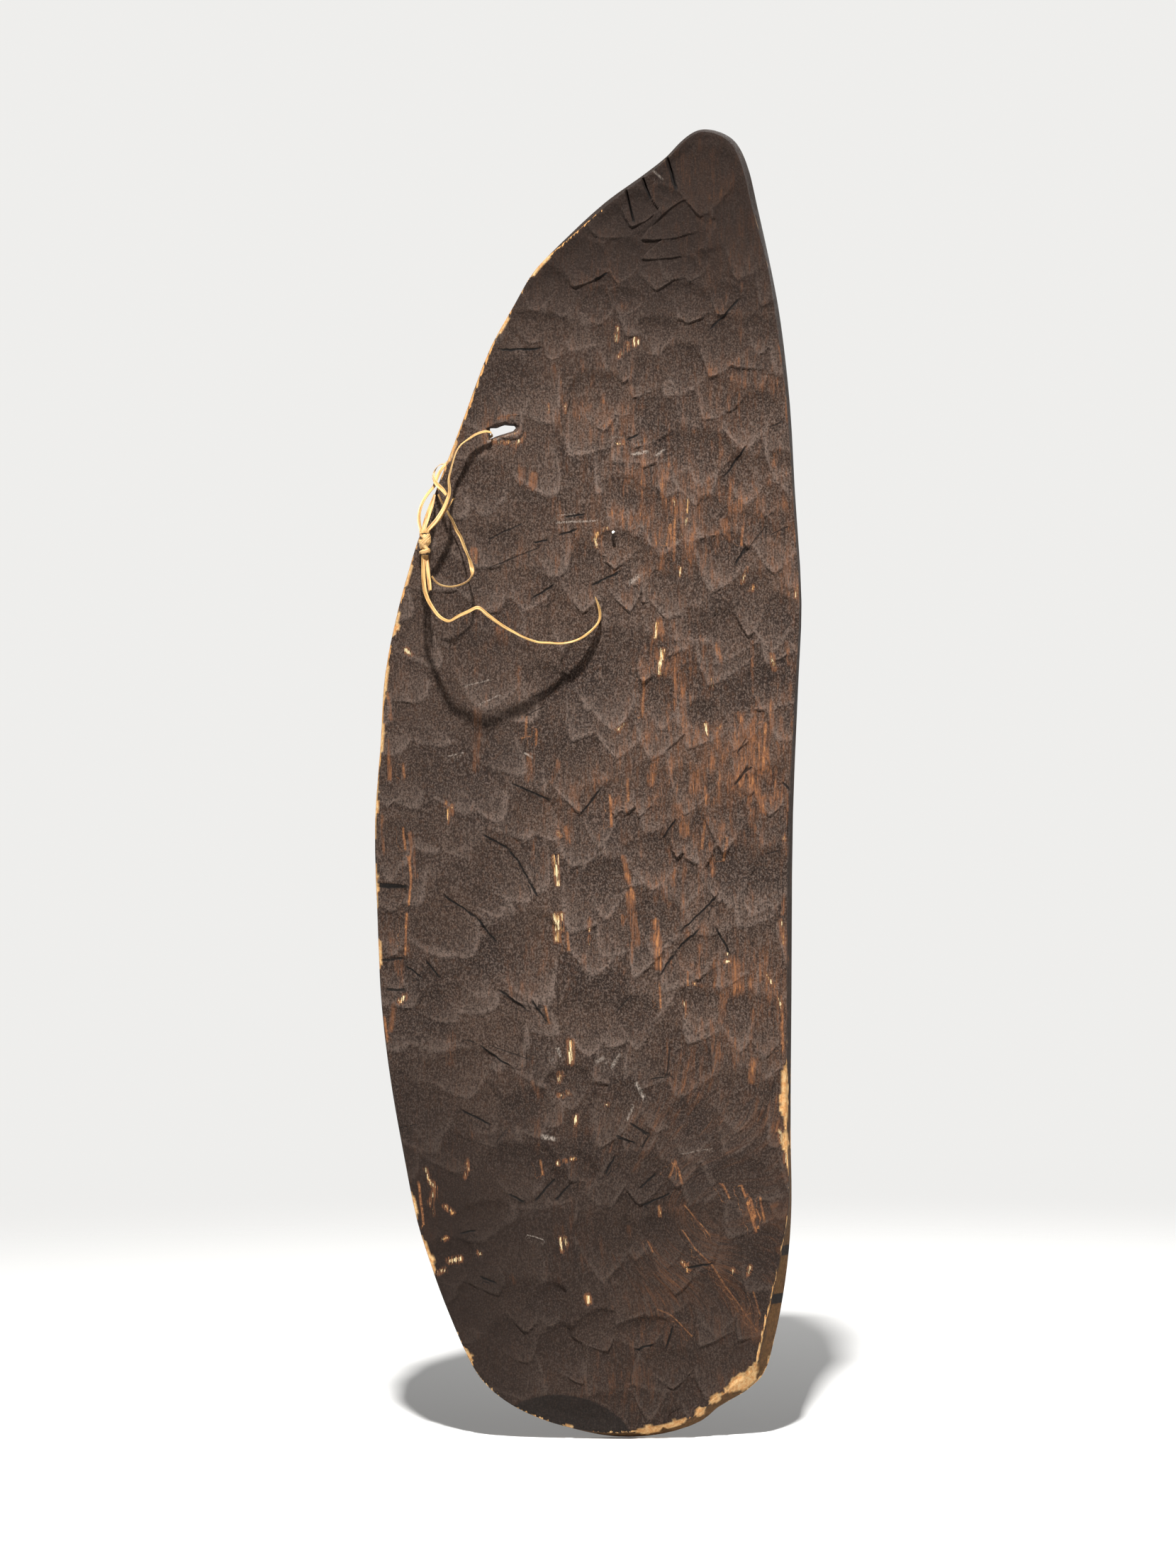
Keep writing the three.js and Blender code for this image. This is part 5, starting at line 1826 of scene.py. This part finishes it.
@dataclass
class FibreTie:
    """The tie: its strips, its knot and the frayed fibres at its ends."""

    frame: dict
    leaf: Material
    wound: Material
    fibre_width: float = 0.22 * MM
    wrap_width: float = 2.5 * MM
    windings: tuple = (
        (0.66, 1.6, 1.9, 0.12, 0.0),
        (0.38, -1.5, 1.8, 0.1, 1.3),
        (0.78, -1.1, 1.2, 0.06, 2.6),
        (0.14, 0.3, 1.6, 0.08, 4.0),
        (0.52, 1.3, 1.4, 0.12, 5.2),
    )
    ribbons: tuple = (
        Ribbon(
            node="tie_front_strand",
            route=(
                (0, -17.15, 0), (0, -22, 0), (0, -27.5, 0), (-0.6, -31.5, 0.6), (-3.2, -35, 1.2), (-7, -36.8, 1.2),
                (-14.8, -38, -1.6), (-21.4, -39.5, -6.2), (-27.9, -43.5, -11.4), (-32.4, -45.5, -18.6),
                (-35.2, -46.5, -27.5), (-37.2, -48, -35.2), (-38.8, -50, -43.5), (-38.3, -51.5, -51.1),
                (-38.6, -52.8, -57.6), (-40.9, -54.4, -64.8), (-43.9, -55.6, -71.7), (-49.5, -57, -80.4),
                (-55, -58.2, -87), (-58.1, -58.6, -90.4), (-58.1, -58.6, -92.8),
            ),
            widths=((0, 2.4), (0.12, 2.8), (0.26, 4.8), (0.5, 5.4), (0.72, 5.0), (0.85, 3.8), (1, 3.0)),
            turns=((0, -30), (0.2, -56), (0.32, -76), (0.52, -76), (0.66, -62), (0.78, -40), (0.88, -16), (1, 0)),
            curl=0.18,
            far_end="knot",
        ),
        Ribbon(
            node="tie_rear_strand",
            route=(
                (0, -16.85, 0), (0, -12, 0), (0, -8, 0), (-0.5, -4.5, -0.3), (-3.6, -2.1, -2), (-9, -1.9, -4.7),
                (-14.8, -2.6, -8.1), (-23.3, -3.8, -12.7), (-31.1, -5.2, -16.9), (-37, -6.8, -20.8),
                (-40.5, -8.2, -24.7), (-44.1, -10, -28.6), (-47.1, -14.5, -32.9), (-49.3, -19.4, -37.4),
                (-51, -24.4, -42.6), (-52.8, -30, -48.5), (-56.4, -37, -53.7), (-60.3, -42, -59.6),
                (-63.7, -47, -66.7), (-65.6, -50.5, -74.5), (-65.7, -53.5, -82.3), (-64.3, -56, -90),
                (-64.2, -56.2, -92.8),
            ),
            widths=((0, 2.4), (0.3, 2.8), (0.45, 3.6), (0.62, 4.6), (0.75, 4.4), (0.9, 3.6), (1, 2.6)),
            turns=((0, 0), (0.3, 0), (0.45, -40), (0.6, -52), (0.75, -52), (0.9, -40), (1, -10)),
            far_end="knot",
        ),
        Ribbon(
            node="tie_inner_strand",
            route=(
                (-52.4, -35, -56.4), (-53.2, -37.4, -60), (-54.6, -41, -65), (-56.8, -46.5, -72.2),
                (-58.8, -51.5, -79), (-60.4, -55.6, -85), (-61.3, -58.2, -89.8), (-61.3, -58.4, -92.8),
            ),
            widths=((0, 2.0), (0.3, 4.2), (0.7, 4.6), (1, 3.6)),
            turns=((0, 20), (0.4, 5), (1, -5)),
            far_end="knot",
        ),
        Ribbon(
            node="tie_twist_loop",
            route=(
                (-45, -6.3, -26.4), (-48.4, -6.6, -27.2), (-51.4, -9, -30.2), (-53.1, -14, -34.2),
                (-53.7, -22.5, -38.8), (-52.4, -30.8, -43), (-50.4, -37, -46.8), (-46.6, -41.5, -50.6),
                (-43.6, -46.4, -54), (-41.2, -50.7, -57.6),
            ),
            widths=((0, 2.0), (0.3, 2.4), (0.6, 3.6), (0.85, 3.8), (1, 2.6)),
            turns=((0, 120), (0.15, 76), (0.3, 40), (0.6, 12), (1, -10)),
            curl=0.2,
            far_end="object",
        ),
        Ribbon(
            node="tie_side_loop",
            route=(
                (-48.9, -37.2, -56.3), (-46.1, -37.4, -62.2), (-43.2, -36.6, -68), (-39.6, -35.4, -74.2),
                (-36.2, -34.4, -80), (-32.5, -33.8, -88.7), (-28.7, -36, -95), (-24.6, -39.5, -105.3),
                (-21.2, -43.6, -113.6), (-18.4, -47, -122), (-17.6, -50.4, -128.6), (-19.7, -53, -134.4),
                (-24.6, -55.4, -138.3), (-31.1, -57.6, -140.9), (-37, -59.4, -141.9), (-42.8, -60.8, -141.3),
                (-47.5, -61.6, -139.6), (-51.3, -62, -136.4), (-54, -61.9, -132.4),
            ),
            widths=((0, 2.2), (0.12, 2.8), (0.25, 3.6), (0.42, 3.8), (0.5, 3.8), (0.6, 3.8), (0.8, 3.6), (1, 2.6)),
            turns=(
                (0, -50), (0.12, -56), (0.25, -48), (0.42, -50), (0.5, -66), (0.58, -30), (0.66, 74), (0.85, 74),
                (1, 56),
            ),
            curl=0.25,
            far_end="object",
            frays=3,
        ),
        Ribbon(
            node="tie_upper_end",
            route=(
                (-57.6, -55.3, -92.8), (-57.6, -55.3, -90.4), (-55.4, -54.7, -87.4), (-51.6, -53.6, -83.4),
                (-47, -52.4, -78), (-43.2, -51.6, -73.4), (-40, -50.9, -69.4), (-37, -50.2, -65),
                (-35.2, -49.8, -61.4),
            ),
            widths=((0, 3.2), (0.4, 4.4), (0.7, 3.2), (0.9, 2.2), (1, 1.0)),
            turns=((0, 0), (0.4, -20), (0.7, 50), (1, 60)),
            frays=5,
        ),
        Ribbon(
            node="tie_short_end",
            route=(
                (-58.8, -55.4, -112.8), (-58.8, -55.5, -115.4), (-58.2, -57.4, -121), (-57.6, -59.4, -127),
                (-57.1, -61, -133), (-56.4, -62, -139), (-55.8, -62.6, -145.2),
            ),
            widths=((0, 2.8), (0.4, 3.2), (0.8, 3.6), (1, 3.2)),
            turns=((0, 0), (0.5, 12), (1, 20)),
            frays=4,
        ),
        Ribbon(
            node="tie_long_end",
            route=(
                (-61.8, -57.9, -112.8), (-61.8, -58, -115.4), (-61.9, -60, -121), (-61.9, -62, -130),
                (-61.5, -63.2, -138), (-60.4, -64.2, -146), (-57.6, -65.4, -154), (-53.4, -67.2, -161.6),
                (-48.3, -70.6, -168.4), (-43, -75.4, -172.4), (-37, -81, -174), (-29.2, -87, -170.2),
                (-20.7, -93, -166.6), (-15, -96.6, -163.8), (-11.6, -98.4, -162.8), (-8.4, -97.2, -164.2),
                (-3.6, -93.4, -168.4), (1, -89, -171.9), (7, -84.6, -176.2), (14.2, -80, -180.7),
                (22, -74.6, -184.8), (29.4, -70, -188.4), (36.8, -64, -191.2), (44.4, -59.4, -193),
                (53, -55, -193.2), (62, -49.6, -193.6), (71, -43.6, -192.4), (80.6, -38.8, -189),
                (88.4, -34.6, -183.8), (95.4, -31.4, -177.2), (99, -29.9, -170.8), (99.3, -29.4, -163.8),
                (97.6, -29.2, -157), (94.9, -29.1, -149.9),
            ),
            widths=(
                (0, 4.4), (0.1, 5), (0.18, 5.6), (0.26, 6.2), (0.38, 6.6), (0.5, 7), (0.62, 7.4), (0.8, 7.4),
                (0.9, 6.4), (0.95, 4.4), (0.98, 2.4), (1, 0.9),
            ),
            turns=(
                (0, 40), (0.1, 46), (0.2, 62), (0.26, 68), (0.31, 64), (0.38, 62), (0.44, 62), (0.52, 70),
                (0.62, 78), (0.8, 78), (0.9, 74), (0.95, 62), (1, 50),
            ),
            curl=0.28,
            frays=6,
        ),
    )

    def build(self) -> list[Object]:
        """Makes every strip and the knot.

        Returns:
            The finished pieces.
        """
        joint = next(joint for joint in self.frame["joints"] if joint["name"] == "tie_swing")
        axis = Vector(joint["pos_m"])
        knot = self._knot()
        pieces = [knot]
        for number, ribbon in enumerate(self.ribbons):
            path = ribbon.path(axis)
            mesh = ribbon.mesh(path)
            self._fray(mesh, ribbon, path, number)
            piece = new_object(ribbon.node.replace("tie_", "fibre_"), mesh)
            self._dress(piece, ribbon.node, self.leaf)
            ribbon.mean_width()
            pieces.append(piece)
        return pieces

    def _dress(self, piece: Object, node: str, material: Material) -> None:
        """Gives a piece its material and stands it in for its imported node."""
        piece.data.materials.append(material)
        shade(piece, 50)
        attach(piece, Body.TIE.value)
        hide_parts(node)

    def _fray(self, mesh: BMesh, ribbon: Ribbon, path: list[Vector], number: int) -> None:
        """Adds thin loose fibres near a strip's far end.

        Args:
            mesh: the strip's bmesh, which this call adds to.
            ribbon: the strip.
            path: its centreline.
            number: the strip's number, which chooses the fibres.
        """
        draw = np.random.default_rng(SEED + number)
        for _ in range(ribbon.frays):
            start = int(len(path) * draw.uniform(0.72, 0.96))
            heading = (path[min(start + 3, len(path) - 1)] - path[start - 1]).normalized()
            drift = Vector(draw.normal(0, 0.35, 3))
            drift -= heading * drift.dot(heading)
            reach = draw.uniform(3, 7) * MM
            points = [path[start] + heading * reach * t + drift * reach * t * t * 0.8 for t in np.linspace(0, 1, 6)]
            join(mesh, self._fibre([self._drawn_in(point, path) for point in points]))

    @staticmethod
    def _drawn_in(point: Vector, path: list[Vector], most: float = 3.3 * MM) -> Vector:
        """Keeps a point within a distance of the strip's centreline."""
        near = min(path, key=lambda place: (place - point).length_squared)
        away = point - near
        return near + away.normalized() * min(away.length, most)

    def _fibre(self, points: list[Vector]) -> BMesh:
        """Makes one thin three-sided fibre.

        Args:
            points: its centreline.

        Returns:
            The fibre.
        """
        rings = []
        for index, (point, heading) in enumerate(zip(points, headings(points))):
            taper = 1 - 0.75 * index / (len(points) - 1)
            side = heading.orthogonal().normalized()
            other = heading.cross(side)
            ring = [side * math.cos(a) + other * math.sin(a) for a in (math.tau * k / 3 for k in range(3))]
            rings.append([point + corner * self.fibre_width * taper for corner in ring])
        return ring_skin(rings)

    def _knot(self) -> Object:
        """Makes the knot: a lumpy core under strips that are wound round it on the slant.

        Returns:
            The finished piece.
        """
        low, high = (Vector(corner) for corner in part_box("tie_knot"))
        centre = (low + high) / 2
        radius, height = (high.x - low.x) / 2, high.z - low.z
        core = bmesh.new()
        bmesh.ops.create_uvsphere(core, u_segments=24, v_segments=18, radius=1.0)
        core.loops.layers.uv.new(STRIP_UV)
        for vert in core.verts:
            lump = 0.78 + 0.1 * math.sin(vert.co.z * 6 + 1) + 0.05 * math.sin(vert.co.x * 7 + vert.co.z * 4)
            girth = radius * lump * self._waist((vert.co.z + 1) / 2)
            vert.co = centre + Vector((vert.co.x * girth, vert.co.y * girth, vert.co.z * height * 0.47))
        for up, slant, rounds, climb, start in self.windings:
            points, steps = [], int(28 * rounds)
            for step in range(steps + 1):
                angle = start + math.tau * rounds * step / steps
                rise = low.z + height * (up + climb * (step / steps - 0.5)) + slant * radius * 0.55 * math.cos(angle)
                level = abs((rise - centre.z) / (height / 2))
                reach = radius * (0.93 - 0.25 * min(level, 1) ** 3) * self._waist((rise - low.z) / height)
                points.append(Vector((centre.x + reach * math.cos(angle), centre.y + reach * math.sin(angle), rise)))
            join(core, self._wrap(points, centre))
        knot = new_object("fibre_knot", core)
        self._dress(knot, "tie_knot", self.wound)
        return knot

    @staticmethod
    def _waist(share: float) -> float:
        """Narrows the knot between its two lumps, at a share of its height."""
        return 1.03 - 0.24 * math.exp(-(((share - 0.34) / 0.13) ** 2))

    def _wrap(self, points: list[Vector], centre: Vector) -> BMesh:
        """Makes one flat strip that lies along points round the knot's core.

        Args:
            points: the strip's centreline.
            centre: the knot's middle.

        Returns:
            The strip.
        """
        half, rings = self.wrap_width / 2, []
        for point, heading in zip(points, headings(points)):
            out = Vector((point.x - centre.x, point.y - centre.y, 0)).normalized()
            side = heading.cross(out).normalized()
            upper = [point + side * half * s + out * 0.5 * MM * (1 - s * s) for s in (-1, -0.5, 0, 0.5, 1)]
            rings.append(upper + [place - out * 0.7 * MM for place in reversed(upper)])
        strip = ring_skin(rings)
        map_strip(strip, rings, self.wrap_width, path_length(points))
        return strip


@dataclass
class Studio:
    """The camera, lamps, pale floor and pale surroundings."""

    distance: float = 4.2
    lens: float = 105.0
    sensor: float = 36.0
    key_height_degrees: float = 54.5
    key_power: float = 520.0
    key_across: float = -0.04

    def build(self, floor_level: float, front: float) -> None:
        """Sets the scene.

        Args:
            floor_level: the height that the shield's lowest point touches.
            front: the carved face's y.
        """
        self._camera(front)
        height = math.radians(self.key_height_degrees)
        self._lamp("key", (self.key_across, -math.cos(height), math.sin(height)), 5.0, 0.24, self.key_power)
        self._lamp("fill_left", (-0.8, -0.55, 0.15), 3.4, 1.6, 4.0)
        self._lamp("fill_right", (0.8, -0.6, 0.1), 3.4, 1.6, 4.0)
        self._lamp("back", (0.3, 0.8, 0.5), 3.4, 1.6, 60.0)
        self._floor(floor_level)
        self._world()

    def _camera(self, front: float) -> None:
        """Looks straight at the carved face from the photograph's place."""
        data = bpy.data.cameras.new("camera")
        data.lens = self.lens
        data.sensor_width = self.sensor
        data.sensor_fit = "AUTO"
        camera = place_object("camera", data)
        camera.location = (0.0, front - self.distance, 0.0)
        camera.rotation_euler = (math.radians(90), 0, 0)
        bpy.context.scene.camera = camera

    @staticmethod
    def _lamp(name: str, towards: tuple[float, float, float], distance: float, size: float, power: float) -> None:
        """Adds a square lamp that faces the shield's middle."""
        data = bpy.data.lights.new(name, "AREA")
        data.size = size
        data.energy = power
        lamp = place_object(name, data)
        direction = Vector(towards).normalized()
        lamp.location = direction * distance
        lamp.rotation_euler = direction.to_track_quat("Z", "Y").to_euler()

    @staticmethod
    def _floor(level: float) -> None:
        """Lays a round, pale floor that fades out far from the shield."""
        mesh = bmesh.new()
        bmesh.ops.create_circle(mesh, cap_ends=True, segments=96, radius=3.0)
        bmesh.ops.translate(mesh, verts=mesh.verts, vec=(0, 0, level))
        floor = new_object("floor", mesh)
        material = bpy.data.materials.new("pale floor")
        material.use_nodes = True
        shader = Shader(material.node_tree)
        place = shader.add("ShaderNodeTexCoord").outputs["Object"]
        flat = shader.add("ShaderNodeVectorMath", {0: place, 1: (1.0, 1.0, 0.0)}, operation="MULTIPLY").outputs[0]
        away = shader.add("ShaderNodeVectorMath", {0: flat}, operation="LENGTH").outputs["Value"]
        paper = shader.add("ShaderNodeBsdfDiffuse", {"Color": (0.82, 0.81, 0.79, 1)})
        clear = shader.add("ShaderNodeBsdfTransparent")
        inputs = {0: shader.fade(away, 0.9, 2.6), 1: paper.outputs[0], 2: clear.outputs[0]}
        blend = shader.add("ShaderNodeMixShader", inputs)
        shader.add("ShaderNodeOutputMaterial", {"Surface": blend.outputs[0]})
        floor.data.materials.append(material)
        floor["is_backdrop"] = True

    @staticmethod
    def _world() -> None:
        """Shows a pale backdrop to the camera and lights the shield with a softer, dimmer sky."""
        world = bpy.data.worlds.new("studio")
        bpy.context.scene.world = world
        world.use_nodes = True
        shader = Shader(world.node_tree)
        rays = shader.add("ShaderNodeLightPath")
        seen = shader.math("MAXIMUM", rays.outputs["Is Camera Ray"], rays.outputs["Is Transmission Ray"])
        seen = shader.math("MAXIMUM", seen, rays.outputs["Is Glossy Ray"])
        backdrop = shader.add("ShaderNodeBackground", {"Color": (0.86, 0.855, 0.84, 1), "Strength": 1.0})
        sky = shader.add("ShaderNodeBackground", {"Color": (0.9, 0.95, 1.0, 1), "Strength": 0.06})
        blend = shader.add("ShaderNodeMixShader", {0: seen, 1: sky.outputs[0], 2: backdrop.outputs[0]})
        shader.add("ShaderNodeOutputWorld", {"Surface": blend.outputs[0]})


def main() -> None:
    """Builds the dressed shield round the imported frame."""
    logging.basicConfig(level=logging.INFO, format="%(name)s: %(message)s")
    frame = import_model()
    cad_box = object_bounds()
    bpy.context.scene.view_settings.view_transform = "Standard"
    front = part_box("shield_board")[0][1]
    Studio().build(floor_level=cad_box[0][2] - 0.5 * MM, front=front)
    effects = Effects()
    wood = SmokedWood("smoked wood", effects).build()
    leaf = DryLeaf("split palm leaf", effects).build()
    wound = DryLeaf("wound palm leaf", effects, straw=colour(222, 182, 120), brown=colour(158, 106, 56)).build()
    carved = CarvedBoard(frame, wood)
    board = carved.build()
    log.info("board: %d faces", len(board.data.polygons))
    nail = DrivenNail(carved.face, front)
    steel = WornSteel("worn steel", effects, end=nail.end.y, middle=nail.end.xz[:]).build()
    log.info("nail: %d faces", len(nail.build(steel).data.polygons))
    for piece in FibreTie(frame, leaf, wound).build():
        log.info("%s: %d faces", piece.name, len(piece.data.polygons))


if __name__ == "__main__":
    main()
